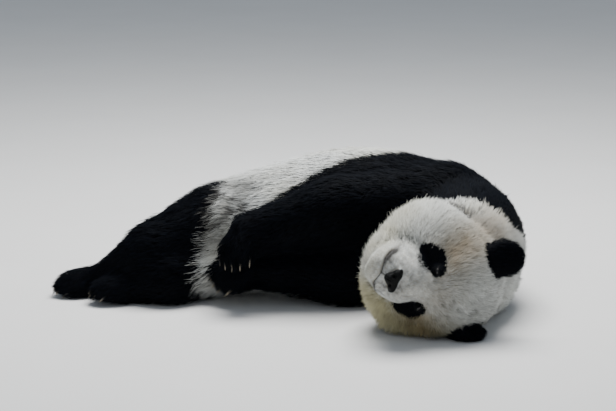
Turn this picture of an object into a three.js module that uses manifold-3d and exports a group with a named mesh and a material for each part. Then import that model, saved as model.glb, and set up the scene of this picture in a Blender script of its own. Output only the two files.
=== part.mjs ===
// Giant panda asleep on its left side, life size, out to the tips of its coat.
// Millimetres. +Z is up from the floor, +X runs from rump to shoulders and the belly faces -Y.
// Each region of the body is a smooth field of ellipsoids and tapers, and a capsule or a ball
// of triangles is wrapped on it. Neighbours are then cut back to leave thin parting lines.

import * as THREE from 'three';
import { mergeVertices } from 'three/addons/utils/BufferGeometryUtils.js';
import Module from 'manifold-3d';

const wasm = await Module();
wasm.setup();

// ---------------------------------------------------------------- driving dimensions

const PARTING = 0.3; // gap between neighbouring solids
const COAT_BLEND = 55; // how softly one mass of the trunk runs into the next

const TRUNK_HEIGHT = 382; // lying on its side
const TRUNK_DEPTH = 424; // back to belly
const SHOULDER_BAND = 190; // where the black of the shoulders begins

const HEAD_WIDTH = 346; // cheek to cheek with fur
const HEAD_CENTRE = [314, -460, 144];
const HEAD_ROLL = 25.5; // crown turned down from level, degrees
const HEAD_YAW = 17; // face turned to the floor
const HEAD_NOD = 10; // muzzle dropped to the chest
const HEAD_TIP_BACK = 12; // the whole head leans back

const EYE_RADIUS = 12.5;
const EAR_RADIUS = 49;
const EAR_DEPTH = 21;

const DIGITS = 5;
const FORE_CLAW = { length: 46, radius: 7.5 };
const HIND_CLAW = { length: 38, radius: 6.5 };

// Joints of the pose, each [x, y, z, radius of the limb with its coat]
const FORELEG_RIGHT = {
  joints: [[365, -50, 236, 122], [75, -176, 252, 88], [-158, -222, 196, 54]],
  toes: [-0.38, -0.74, -0.56], // the paw hangs from the wrist
  top: [-0.35, -0.5, 0.8],
  names: ['upper_arm_right', 'forearm_right', 'forepaw_right'],
};
const FORELEG_LEFT = {
  joints: [[330, -80, 100, 100], [106, -170, 74, 78], [-150, -168, 98, 54]],
  toes: [-0.9, -0.3, -0.3],
  top: [-0.1, -0.6, 0.8],
  names: ['upper_arm_left', 'forearm_left', 'forepaw_left'],
};
const HIND_RIGHT = {
  joints: [[-235, -30, 172, 128], [-402, -104, 112, 92], [-566, -66, 36, 37]],
  toes: [-0.95, -0.28, -0.05],
  top: [0.1, -0.36, 0.93],
  names: ['thigh_right', 'shank_right', 'hindfoot_right'],
};
const HIND_LEFT = {
  joints: [[-225, -50, 100, 104], [-362, -150, 68, 74], [-466, -142, 42, 46]],
  toes: [-0.93, -0.36, -0.05],
  top: [0.1, -0.2, 0.97],
  names: ['thigh_left', 'shank_left', 'hindfoot_left'],
};

const COLOURS = {
  white: { color: 0xd9d6cc, roughness: 0.9, metalness: 0 },
  black: { color: 0x1c1c20, roughness: 0.85, metalness: 0 },
  skin: { color: 0x17161a, roughness: 0.45, metalness: 0 },
  eye: { color: 0x140f0c, roughness: 0.08, metalness: 0 },
  claw: { color: 0xc9c2b2, roughness: 0.4, metalness: 0 },
};

// ---------------------------------------------------------------- fields

const vec = ([x, y, z]) => new THREE.Vector3(x, y, z);

/** Signed distance to a ball stretched to three half sizes. */
function ellipsoid(centre, radii) {
  const [cx, cy, cz] = centre;
  const [rx, ry, rz] = radii;
  return (p) => {
    const x = p.x - cx;
    const y = p.y - cy;
    const z = p.z - cz;
    const scaled = Math.hypot(x / rx, y / ry, z / rz);
    const slope = Math.hypot(x / (rx * rx), y / (ry * ry), z / (rz * rz));
    return slope === 0 ? -Math.min(rx, ry, rz) : (scaled * (scaled - 1)) / slope;
  };
}

/** Signed distance to a limb length whose radius runs evenly from one end to the other. */
function taper(start, end, startRadius, endRadius) {
  const a = vec(start);
  const line = vec(end).sub(a);
  const lengthSquared = line.lengthSq();
  const offset = new THREE.Vector3();
  return (p) => {
    offset.copy(p).sub(a);
    const t = THREE.MathUtils.clamp(offset.dot(line) / lengthSquared, 0, 1);
    return offset.addScaledVector(line, -t).length() - THREE.MathUtils.lerp(startRadius, endRadius, t);
  };
}

/** Joins fields into one, with a fillet of the given size where they meet. */
function blend(fillet, ...fields) {
  return (p) => fields.reduce((nearest, field) => {
    const d = field(p);
    const overlap = Math.max(fillet - Math.abs(nearest - d), 0) / fillet;
    return Math.min(nearest, d) - overlap * overlap * fillet * 0.25;
  }, Infinity);
}

/** A field given in a placed frame, read from the body's frame. */
function placed(field, frame) {
  const inverse = frame.clone().invert();
  const local = new THREE.Vector3();
  return (p) => field(local.copy(p).applyMatrix4(inverse));
}

// ---------------------------------------------------------------- wrapping

const REACH_STEP = 4;
const REACH_LIMIT = 600;
const REACH_HALVINGS = 14;

/** How far the field's surface lies from an inner point along a direction. */
function reach(field, from, direction, level) {
  const p = new THREE.Vector3();
  const outside = (distance) => field(p.copy(from).addScaledVector(direction, distance)) > level;
  let far = REACH_STEP;
  while (far < REACH_LIMIT && !outside(far)) far += REACH_STEP;
  let near = far - REACH_STEP;
  for (let i = 0; i < REACH_HALVINGS; i += 1) {
    const middle = (near + far) / 2;
    if (outside(middle)) far = middle;
    else near = middle;
  }
  return (near + far) / 2;
}

/** Merges shared vertices and drops the flat triangles at the poles. */
function weld(geometry) {
  geometry.deleteAttribute('normal');
  geometry.deleteAttribute('uv');
  const merged = mergeVertices(geometry, 1e-3);
  const index = merged.getIndex().array;
  const kept = [];
  for (let i = 0; i < index.length; i += 3) {
    const [a, b, c] = [index[i], index[i + 1], index[i + 2]];
    if (a !== b && b !== c && c !== a) kept.push(a, b, c);
  }
  merged.setIndex(kept);
  return merged;
}

/** Wraps a ball of triangles on a field, seen from one inner point. */
function wrapBall(field, centre, detail, level = 0) {
  const ball = weld(new THREE.IcosahedronGeometry(1, detail));
  const from = vec(centre);
  const position = ball.getAttribute('position');
  const direction = new THREE.Vector3();
  for (let i = 0; i < position.count; i += 1) {
    direction.fromBufferAttribute(position, i).normalize();
    const distance = reach(field, from, direction, level);
    position.setXYZ(i, ...direction.multiplyScalar(distance).add(from).toArray());
  }
  return ball;
}

/** Wraps a capsule of triangles on a field, seen from a curve that runs inside it. */
function wrapAlong(field, points, { around, along, cap }, level = 0) {
  const curve = points.length > 2
    ? new THREE.CatmullRomCurve3(points.map(vec), false, 'centripetal')
    : new THREE.LineCurve3(...points.map(vec));
  const frames = curve.computeFrenetFrames(along, false);
  const capsule = weld(new THREE.CapsuleGeometry(1, along, cap, around, along));
  const position = capsule.getAttribute('position');
  const direction = new THREE.Vector3();
  for (let i = 0; i < position.count; i += 1) {
    const height = position.getY(i);
    const core = THREE.MathUtils.clamp(height, -along / 2, along / 2);
    const station = Math.round(core + along / 2);
    const side = new THREE.Vector3().crossVectors(frames.normals[station], frames.tangents[station]);
    const from = curve.getPointAt(station / along);
    direction.set(0, 0, 0)
      .addScaledVector(frames.normals[station], position.getX(i))
      .addScaledVector(frames.tangents[station], height - core)
      .addScaledVector(side, position.getZ(i))
      .normalize();
    const distance = reach(field, from, direction, level);
    position.setXYZ(i, ...direction.multiplyScalar(distance).add(from).toArray());
  }
  return capsule;
}

// ---------------------------------------------------------------- solids

/** A closed three.js geometry as a solid that can be cut. */
function solid(geometry) {
  const merged = geometry.getAttribute('uv') ? weld(geometry) : geometry;
  return new wasm.Manifold(new wasm.Mesh({
    numProp: 3,
    vertProperties: new Float32Array(merged.getAttribute('position').array),
    triVerts: new Uint32Array(merged.getIndex().array),
  }));
}

/** The largest body left of a solid, without chips. */
function largest(piece) {
  return piece.decompose().reduce((best, part) => (part.volume() > best.volume() ? part : best));
}

const FLOOR_BLOCK_SIZE = 4000;
const floorBlock = solid(new THREE.BoxGeometry(FLOOR_BLOCK_SIZE, FLOOR_BLOCK_SIZE, FLOOR_BLOCK_SIZE)
  .translate(0, 0, -FLOOR_BLOCK_SIZE / 2));

/** A solid less its neighbours and whatever would pass under the floor. */
function parted(piece, ...neighbours) {
  return largest(neighbours.reduce((rest, other) => rest.subtract(other), piece.subtract(floorBlock)));
}

/** Solids of one shape, at its own size and grown by the parting gap. */
function shape(build) {
  return { own: solid(build(0)), grown: solid(build(PARTING)) };
}

/** A thin flat slab through a point, square to the way from before it to after it. */
function partingSlab(point, before, after, size) {
  const normal = vec(after).sub(vec(before)).normalize();
  const turn = new THREE.Quaternion().setFromUnitVectors(new THREE.Vector3(0, 0, 1), normal);
  return solid(new THREE.BoxGeometry(size, size, PARTING).applyQuaternion(turn).translate(...point));
}

/** The middle of a solid's box, as a distance along a direction. */
function placeAlong(piece, direction) {
  const { min, max } = piece.boundingBox();
  return vec(min).add(vec(max)).dot(direction);
}

/** The lengths that slabs part a solid into, from its first end to its last. */
function lengths(piece, slabs, direction) {
  return slabs.reduce((rest, slab) => rest.subtract(slab), piece).decompose()
    .sort((a, b) => b.volume() - a.volume())
    .slice(0, slabs.length + 1)
    .sort((a, b) => placeAlong(a, direction) - placeAlong(b, direction));
}

const panda = new THREE.Group();

/** Adds a solid to the panda as a named mesh, set by the middle of its box. */
function add(name, piece, finish) {
  const mesh = piece.getMesh();
  const geometry = new THREE.BufferGeometry();
  geometry.setAttribute('position', new THREE.BufferAttribute(new Float32Array(mesh.vertProperties), 3));
  geometry.setIndex(new THREE.BufferAttribute(new Uint32Array(mesh.triVerts), 1));
  geometry.computeBoundingBox();
  const middle = geometry.boundingBox.getCenter(new THREE.Vector3());
  geometry.translate(-middle.x, -middle.y, -middle.z);
  geometry.computeVertexNormals();
  const part = new THREE.Mesh(geometry, new THREE.MeshStandardMaterial(COLOURS[finish]));
  part.name = name;
  part.position.copy(middle);
  panda.add(part);
}

// ---------------------------------------------------------------- trunk, tail and neck

const halfDepth = TRUNK_DEPTH / 2;
const halfHeight = TRUNK_HEIGHT / 2;

const trunkField = blend(
  COAT_BLEND,
  ellipsoid([150, 5, halfHeight - 4], [322, halfDepth - 4, halfHeight + 2]), // ribs
  ellipsoid([-60, 0, 160], [250, halfDepth - 14, 168]), // belly
  ellipsoid([-228, 34, 132], [165, 170, 140]), // rump
  ellipsoid([385, 5, 172], [146, 176, 154]), // shoulders
  ellipsoid([318, -96, 158], [140, 150, 150]), // breast
);
const TRUNK_AXIS = [[-230, 30, 140], [-60, 8, 165], [140, 5, 185], [300, 5, 183], [390, 0, 176]];
const TRUNK_GRID = { around: 22, along: 14, cap: 5 };
const trunk = shape((level) => wrapAlong(trunkField, TRUNK_AXIS, TRUNK_GRID, level));
const shoulderLine = partingSlab([SHOULDER_BAND, 0, halfHeight], [0, 0, halfHeight], [1, 0, halfHeight], 1000);

const TAIL_AXIS = [[-345, 92, 122], [-402, 120, 96], [-428, 132, 72]];
const tailField = blend(
  20,
  taper(TAIL_AXIS[0], TAIL_AXIS[1], 42, 36),
  taper(TAIL_AXIS[1], TAIL_AXIS[2], 36, 27),
);
const TAIL_GRID = { around: 10, along: 4, cap: 3 };
const tail = shape((level) => wrapAlong(tailField, TAIL_AXIS, TAIL_GRID, level));

const NECK_AXIS = [[385, -20, 178], [410, -150, 165], [392, -270, 152], [346, -360, 146]];
const neckField = blend(
  50,
  taper(NECK_AXIS[0], NECK_AXIS[1], 152, 146),
  taper(NECK_AXIS[1], NECK_AXIS[2], 146, 142),
  taper(NECK_AXIS[2], NECK_AXIS[3], 144, 150),
  ellipsoid([448, -235, 62], [86, 105, 66]), // the scruff, spread on the floor
);
const NECK_GRID = { around: 18, along: 5, cap: 3 };
const neck = shape((level) => wrapAlong(neckField, NECK_AXIS, NECK_GRID, level));

// ---------------------------------------------------------------- head

const radians = THREE.MathUtils.degToRad;

/** The head's own frame: x to its right, y along the muzzle and z to the crown. */
function headFrame() {
  const up = new THREE.Vector3(0, Math.sin(radians(HEAD_TIP_BACK)), Math.cos(radians(HEAD_TIP_BACK)));
  const front = new THREE.Vector3(0, -up.z, up.y);
  const level = new THREE.Vector3(1, 0, 0);
  const roll = radians(HEAD_ROLL);
  const right = level.clone().multiplyScalar(Math.sin(roll)).addScaledVector(up, Math.cos(roll));
  const crown = level.clone().multiplyScalar(Math.cos(roll)).addScaledVector(up, -Math.sin(roll));
  const yaw = radians(HEAD_YAW);
  const turnedFront = front.clone().multiplyScalar(Math.cos(yaw)).addScaledVector(right, -Math.sin(yaw));
  const turnedRight = right.clone().multiplyScalar(Math.cos(yaw)).addScaledVector(front, Math.sin(yaw));
  const nod = radians(HEAD_NOD);
  const muzzle = turnedFront.clone().multiplyScalar(Math.cos(nod)).addScaledVector(crown, -Math.sin(nod));
  const top = crown.clone().multiplyScalar(Math.cos(nod)).addScaledVector(turnedFront, Math.sin(nod));
  return new THREE.Matrix4().makeBasis(turnedRight, muzzle, top).setPosition(vec(HEAD_CENTRE));
}

const head = headFrame();
const inHead = (point) => vec(point).applyMatrix4(head).toArray();
const cheek = HEAD_WIDTH / 2;

/** The same mass on the right and on the left of the head. */
const paired = (make) => [1, -1].map(make);

const headField = placed(blend(
  36,
  ellipsoid([0, -34, 38], [146, 140, 128]), // skull and jaw muscle
  ...paired((side) => ellipsoid([side * (cheek - 94), -18, -44], [94, 112, 116])), // cheeks
  ellipsoid([0, 26, -104], [110, 92, 76]), // throat
  taper([0, 66, -44], [0, 132, -69], 82, 51), // muzzle
  taper([0, 74, 10], [0, 142, -38], 58, 30), // bridge of the nose
  ...paired((side) => ellipsoid([side * 54, 62, 50], [50, 38, 36])), // brows
  taper([0, 70, -108], [0, 120, -110], 54, 38), // lower jaw
), head);
const headBall = shape((level) => wrapBall(headField, inHead([0, 0, -16]), 8, level));

/** A block round the lower jaw, whose top runs along the closed mouth. */
const MOUTH = { width: 128, corner: 84, front: 220, height: 90, up: -100, slope: -7 };
function jawBlock(level) {
  const depth = MOUTH.front - MOUTH.corner;
  return new THREE.BoxGeometry(MOUTH.width + level, depth + level, MOUTH.height + level)
    .translate(0, MOUTH.corner + depth / 2, -MOUTH.height / 2)
    .rotateX(radians(MOUTH.slope))
    .translate(0, 0, MOUTH.up + 2 * MOUTH.corner * Math.sin(radians(-MOUTH.slope)))
    .applyMatrix4(head);
}
const jaw = shape(jawBlock);

/** Where a line along the muzzle's direction leaves the head, at a place across and up its face. */
function onFace(across, up) {
  const from = vec(inHead([across, 0, up]));
  const forward = new THREE.Vector3().setFromMatrixColumn(head, 1);
  return reach(headField, from, forward, 0);
}

const EYE_PLACE = { across: 50, up: 14, bulge: 5 };
const eyeDepth = onFace(EYE_PLACE.across, EYE_PLACE.up) - EYE_RADIUS + EYE_PLACE.bulge;
const eyes = paired((side) => shape((level) => new THREE.SphereGeometry(EYE_RADIUS + level, 10, 8)
  .translate(...inHead([side * EYE_PLACE.across, eyeDepth, EYE_PLACE.up]))));

const noseField = placed(blend(
  10,
  ellipsoid([0, 180, -71], [20, 14, 18]),
  ...paired((side) => ellipsoid([side * 17, 177, -63], [15, 12, 12])),
), head);
const nose = shape((level) => wrapBall(noseField, inHead([0, 179, -67]), 2, level));

/** A round cupped ear in its own frame: x across it, y out of its front and z to its tip. */
function earShape(frame) {
  const field = placed(blend(
    12,
    ellipsoid([0, 0, 0], [EAR_RADIUS, EAR_DEPTH, EAR_RADIUS]),
    ellipsoid([0, -5, -26], [EAR_RADIUS * 0.8, EAR_DEPTH * 1.1, EAR_RADIUS * 0.8]),
  ), frame);
  const centre = new THREE.Vector3(0, -3, -6).applyMatrix4(frame).toArray();
  return shape((level) => wrapBall(field, centre, 2, level));
}

const earRightFrame = head.clone().multiply(new THREE.Matrix4()
  .makeRotationFromEuler(new THREE.Euler(radians(30), radians(28), radians(-28)))
  .setPosition(128, -4, 134));
// The left ear is folded out flat between the cheek and the floor
const earLeftFrame = new THREE.Matrix4().makeBasis(
  new THREE.Vector3(0.78, 0.62, 0).normalize(),
  new THREE.Vector3(0, 0, 1),
  new THREE.Vector3(0.62, -0.78, 0).normalize(),
).setPosition(392, -512, 17);
const ears = [earShape(earRightFrame), earShape(earLeftFrame)];

// ---------------------------------------------------------------- legs

/** Unit axes of a paw: forward to the toes, up out of its top, and to its side. */
function pawAxes(toes, top) {
  const forward = vec(toes).normalize();
  const side = new THREE.Vector3().crossVectors(forward, vec(top)).normalize();
  return { forward, side, top: new THREE.Vector3().crossVectors(side, forward) };
}

/** A point of a paw from its distances along its axes. */
function onPaw(axes, root, side, forward, top) {
  return vec(root)
    .addScaledVector(axes.side, side)
    .addScaledVector(axes.forward, forward)
    .addScaledVector(axes.top, top)
    .toArray();
}

const PAW = {
  fore: { palm: 44, halfLength: 54, halfWidth: 56, thickness: 35, spread: 22.5, digit: 15, tip: 90 },
  hind: { palm: 44, halfLength: 60, halfWidth: 46, thickness: 29, spread: 18.5, digit: 14, tip: 96 },
};
const OUTER_DIGIT_SET_BACK = 4.5; // the toes end on an arc

/** Where each digit of a paw ends, in distances across and along it. */
function digitTips(size) {
  return Array.from({ length: DIGITS }, (_, i) => {
    const place = i - (DIGITS - 1) / 2;
    return { across: place * size.spread, along: size.tip - place * place * OUTER_DIGIT_SET_BACK };
  });
}

/** A paw's pad and digits as one field. */
function pawField(axes, root, size) {
  const palm = new THREE.Matrix4().makeBasis(axes.side, axes.forward, axes.top)
    .setPosition(vec(onPaw(axes, root, 0, size.palm, 0)));
  return blend(
    14,
    placed(ellipsoid([0, 0, 0], [size.halfWidth, size.halfLength, size.thickness]), palm),
    ...digitTips(size).map(({ across, along }) => taper(
      onPaw(axes, root, across * 0.8, size.palm * 0.8, 0),
      onPaw(axes, root, across, along - size.digit, -4), size.digit + 6, size.digit)),
  );
}

const LEG_GRID = { around: 12, along: 12, cap: 4 };
const SLAB_REACH = 3.2; // a parting slab's width against the radius of the limb
const CLAW_HOOK = 1.15; // how far a claw turns from root to tip, radians
const CLAW_FLATNESS = 0.75; // a claw's width against its height
const CLAW_ROOT = 0.8; // how deep a claw starts in its digit, against the digit's radius

/** A claw that leaves its digit forwards and hooks down. */
function clawShape(axes, root, size, { across, along }, { length, radius }, level) {
  const cone = weld(new THREE.ConeGeometry(radius + level, length + level, 5, 3).translate(0, length / 2, 0));
  const bend = length / CLAW_HOOK;
  const start = along - size.digit * CLAW_ROOT;
  const position = cone.getAttribute('position');
  for (let i = 0; i < position.count; i += 1) {
    const angle = position.getY(i) / bend;
    const distance = bend + position.getZ(i);
    const side = across + position.getX(i) * CLAW_FLATNESS;
    const forward = start + Math.sin(angle) * distance;
    position.setXYZ(i, ...onPaw(axes, root, side, forward, Math.cos(angle) * distance - bend));
  }
  return cone;
}

/** One leg whole, its claws, and the slabs that part it at the joints. */
function leg({ joints, toes, top, names }, size, clawSize) {
  const [hip, knee, ankle] = joints.map((joint) => joint.slice(0, 3));
  const [hipRadius, kneeRadius, ankleRadius] = joints.map((joint) => joint[3]);
  const axes = pawAxes(toes, top);
  const palm = onPaw(axes, ankle, 0, size.palm, 0);
  const field = blend(
    24,
    taper(hip, knee, hipRadius, kneeRadius),
    taper(knee, ankle, kneeRadius, ankleRadius),
    taper(ankle, palm, ankleRadius - 4, size.thickness),
    pawField(axes, ankle, size),
  );
  return {
    whole: shape((level) => wrapAlong(field, [hip, knee, ankle, palm], LEG_GRID, level)),
    claws: digitTips(size).map((tip) => shape((level) => clawShape(axes, ankle, size, tip, clawSize, level))),
    slabs: [
      partingSlab(knee, hip, ankle, SLAB_REACH * kneeRadius),
      partingSlab(ankle, knee, palm, SLAB_REACH * ankleRadius),
    ],
    order: vec(palm).sub(vec(hip)),
    names,
  };
}

const legs = [
  leg(FORELEG_RIGHT, PAW.fore, FORE_CLAW),
  leg(HIND_RIGHT, PAW.hind, HIND_CLAW),
  leg(FORELEG_LEFT, PAW.fore, FORE_CLAW),
  leg(HIND_LEFT, PAW.hind, HIND_CLAW),
];

// ---------------------------------------------------------------- parting and assembly

const lengthwise = new THREE.Vector3(1, 0, 0);
const [rear, front] = lengths(parted(trunk.own), [shoulderLine], lengthwise);
add('trunk', rear, 'white');
add('chest', front, 'black');
add('tail', parted(tail.own, trunk.grown), 'white');
add('neck', parted(neck.own, trunk.grown, headBall.grown), 'white');

const faceParts = [jaw, nose, ...eyes].map((one) => one.grown);
const SIDES = ['right', 'left'];
add('head', parted(headBall.own, trunk.grown, ...faceParts), 'white');
add('lower_jaw', parted(headBall.own.intersect(jaw.own), nose.grown), 'white');
add('nose', parted(nose.own), 'skin');
SIDES.forEach((side, i) => add(`eye_${side}`, parted(eyes[i].own), 'eye'));
SIDES.forEach((side, i) => add(`ear_${side}`, parted(ears[i].own, headBall.grown, neck.grown), 'black'));

const behind = [trunk, neck, headBall, ...ears].map((one) => one.grown);

for (const { whole, claws, slabs, order, names } of legs) {
  lengths(parted(whole.own, ...behind), slabs, order)
    .forEach((piece, i) => add(names[i], piece, 'black'));
  claws.map((claw) => parted(claw.own, whole.grown, ...behind))
    .forEach((piece, i) => add(`claw_${names[2]}_${i + 1}`, piece, 'claw'));
  behind.push(whole.grown, ...claws.map((one) => one.grown));
}

const box = new THREE.Box3().setFromObject(panda);
const middle = box.getCenter(new THREE.Vector3());
panda.position.set(-middle.x, -middle.y, -box.min.z);

export default panda;
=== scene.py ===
"""Giant panda asleep on its left side, life size.

Metres, +Z up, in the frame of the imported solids: +X runs from rump to shoulders, the belly faces -Y.
The solids of flesh are merged into one skin that lies under the tips of the coat. Tufts of fur grow
on that skin, in a few pieces, and eyes, nose and claws are pieces of their own.
"""

import logging
import math
from dataclasses import dataclass, field
from enum import Enum

import bmesh
import bpy
import numpy as np
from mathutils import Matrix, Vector
from mathutils.bvhtree import BVHTree
from mathutils.kdtree import KDTree


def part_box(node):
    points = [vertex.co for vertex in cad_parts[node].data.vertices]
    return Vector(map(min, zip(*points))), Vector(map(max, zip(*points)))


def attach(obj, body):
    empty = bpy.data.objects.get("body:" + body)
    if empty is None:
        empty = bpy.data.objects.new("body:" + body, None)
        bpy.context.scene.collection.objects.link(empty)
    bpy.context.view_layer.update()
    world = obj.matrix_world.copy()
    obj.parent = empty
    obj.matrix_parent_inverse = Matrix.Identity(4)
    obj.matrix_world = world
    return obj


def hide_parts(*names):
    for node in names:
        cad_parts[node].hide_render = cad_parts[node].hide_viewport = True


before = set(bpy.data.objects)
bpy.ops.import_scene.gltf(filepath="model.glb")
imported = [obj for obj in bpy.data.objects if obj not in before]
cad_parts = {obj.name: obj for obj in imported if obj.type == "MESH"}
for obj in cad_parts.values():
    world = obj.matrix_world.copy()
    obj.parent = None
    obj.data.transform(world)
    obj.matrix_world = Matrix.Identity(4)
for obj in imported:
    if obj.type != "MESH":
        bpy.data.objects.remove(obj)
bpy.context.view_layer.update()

MM = 0.001
BODY = "root"
LOG = logging.getLogger("panda")

Pair = tuple[float, float]
Triple = tuple[float, float, float]


# ---------------------------------------------------------------- numbers and noise


def unit(vectors: np.ndarray) -> np.ndarray:
    """Vectors scaled to length one along their last axis."""
    return vectors / np.maximum(np.linalg.norm(vectors, axis=-1, keepdims=True), 1e-12)


def ease(low: float, high: float, value: np.ndarray) -> np.ndarray:
    """0 on low's side, 1 on high's side and a smooth step between."""
    share = np.clip((value - low) / (high - low), 0.0, 1.0)
    return share * share * (3.0 - 2.0 * share)


def blob(distance: np.ndarray, size: float) -> np.ndarray:
    """A bell that is 1 at the middle and fades out over about one size."""
    return np.exp(-((distance / size) ** 2))


# large odd factors and a mask of 32 bits, which scatter the numbers of neighbouring cells
AXIS_FACTORS = (374761393, 668265263, 2147483647)
SEED_FACTOR = 974634777
STIR_FACTOR = 1274126177
WORD = 0xFFFFFFFF


def hashed(cells: np.ndarray, seed: int) -> np.ndarray:
    """Gives each whole cell its own repeatable number.

    Args:
        cells: three whole numbers for each cell.
        seed: which set of numbers it is.

    Returns:
        One value from -1 to 1 for each cell.
    """
    mixed = sum(cells[..., axis] * factor for axis, factor in enumerate(AXIS_FACTORS))
    mixed = (mixed + seed * SEED_FACTOR) & WORD
    mixed = ((mixed ^ (mixed >> 13)) * STIR_FACTOR) & WORD
    return ((mixed ^ (mixed >> 16)) & 0xFFFF) / 32767.5 - 1.0


@dataclass(frozen=True)
class Noise:
    """Smooth noise over space, the same on each run."""

    amount: float  # how far it swings to either side of zero
    size: float  # how far apart its hills lie, in millimetres
    seed: int

    def at(self, places: np.ndarray) -> np.ndarray:
        """Works out the noise.

        Args:
            places: points, in metres.

        Returns:
            One value for each point.
        """
        scaled = places / (self.size * MM)
        cell = np.floor(scaled).astype(np.int64)
        share = ease(0.0, 1.0, scaled - cell)
        total = np.zeros(len(places))
        for corner in np.ndindex(2, 2, 2):
            at_corner = np.array(corner)
            weight = np.prod(np.where(at_corner == 1, share, 1.0 - share), axis=1)
            total += weight * hashed(cell + at_corner, self.seed)
        return self.amount * total


# ---------------------------------------------------------------- where things lie


class Side(Enum):
    """A side of the animal, with the sign of its x in the head's frame."""

    RIGHT = 1
    LEFT = -1

    @property
    def word(self) -> str:
        """How the names of nodes and pieces end on this side."""
        return self.name.lower()


class Region(Enum):
    """The parts of the body whose coat differs."""

    TRUNK = "trunk"
    CHEST = "chest"
    TAIL = "tail"
    NECK = "neck"
    HEAD = "head"
    EAR = "ear"
    ARM = "arm"
    PAW = "paw"
    LEG = "leg"
    FOOT = "foot"


def on_both(*names: str) -> tuple[str, ...]:
    """The nodes of the right and of the left side."""
    return tuple(f"{name}_{side.word}" for name in names for side in Side)


REGIONS = list(Region)
REGION_NODES = {
    Region.TRUNK: ("trunk",),
    Region.CHEST: ("chest",),
    Region.TAIL: ("tail",),
    Region.NECK: ("neck",),
    Region.HEAD: ("head", "lower_jaw"),
    Region.EAR: on_both("ear"),
    Region.ARM: on_both("upper_arm", "forearm"),
    Region.PAW: on_both("forepaw"),
    Region.LEG: on_both("thigh", "shank"),
    Region.FOOT: on_both("hindfoot"),
}
FLESH = tuple(node for nodes in REGION_NODES.values() for node in nodes)
LIMBS = (("upper_arm", "forearm", "forepaw"), ("thigh", "shank", "hindfoot"))
FEET = on_both("forepaw", "hindfoot")


def claws_of(foot: str) -> tuple[str, ...]:
    """The nodes of a foot's five claws."""
    return tuple(f"claw_{foot}_{digit}" for digit in range(1, 6))


def middle_of(node: str) -> np.ndarray:
    """The middle of a solid's box."""
    low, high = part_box(node)
    return np.array((low + high) / 2)


def nearest_solid(nodes: tuple[str, ...], places: np.ndarray) -> tuple[np.ndarray, np.ndarray]:
    """Finds the solid nearest to each place.

    Args:
        nodes: the solids to look at.
        places: points, in metres.

    Returns:
        The index of the nearest solid, and how far away it is.
    """
    corners, faces, owners = [], [], []
    for index, node in enumerate(nodes):
        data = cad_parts[node].data
        first = len(corners)
        corners += [tuple(v.co) for v in data.vertices]
        faces += [tuple(first + i for i in p.vertices) for p in data.polygons]
        owners += [index] * len(data.polygons)
    tree = BVHTree.FromPolygons(corners, faces)
    found = [tree.find_nearest(Vector(place)) for place in places]
    return np.array(owners)[[hit[2] for hit in found]], np.array([hit[3] for hit in found])


NOSE_DROP = math.radians(47.5)  # how far below the eyes' level the nose lies, seen from the side


@dataclass(frozen=True)
class HeadFrame:
    """The head's own axes: x to its right, y out of its face and z to its crown, from between the eyes."""

    origin: np.ndarray
    axes: np.ndarray

    @classmethod
    def from_solids(cls) -> "HeadFrame":
        """Finds the frame from the solids of the eyes and the nose.

        Returns:
            The frame.
        """
        right_eye = middle_of("eye_right")
        left_eye = middle_of("eye_left")
        origin = (right_eye + left_eye) / 2
        right = unit(right_eye - left_eye)
        to_nose = middle_of("nose") - origin
        level = unit(to_nose - right * (to_nose @ right))
        square = np.cross(right, level)
        front = level * math.cos(NOSE_DROP) + square * math.sin(NOSE_DROP)
        return cls(origin, np.stack([right, front, np.cross(right, front)]))

    def local(self, places: np.ndarray) -> np.ndarray:
        """Points of the model in the head's frame, in millimetres."""
        return (places - self.origin) @ self.axes.T / MM

    def turned(self, vectors: np.ndarray) -> np.ndarray:
        """Directions of the head's frame, in the model."""
        return vectors @ self.axes


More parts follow.
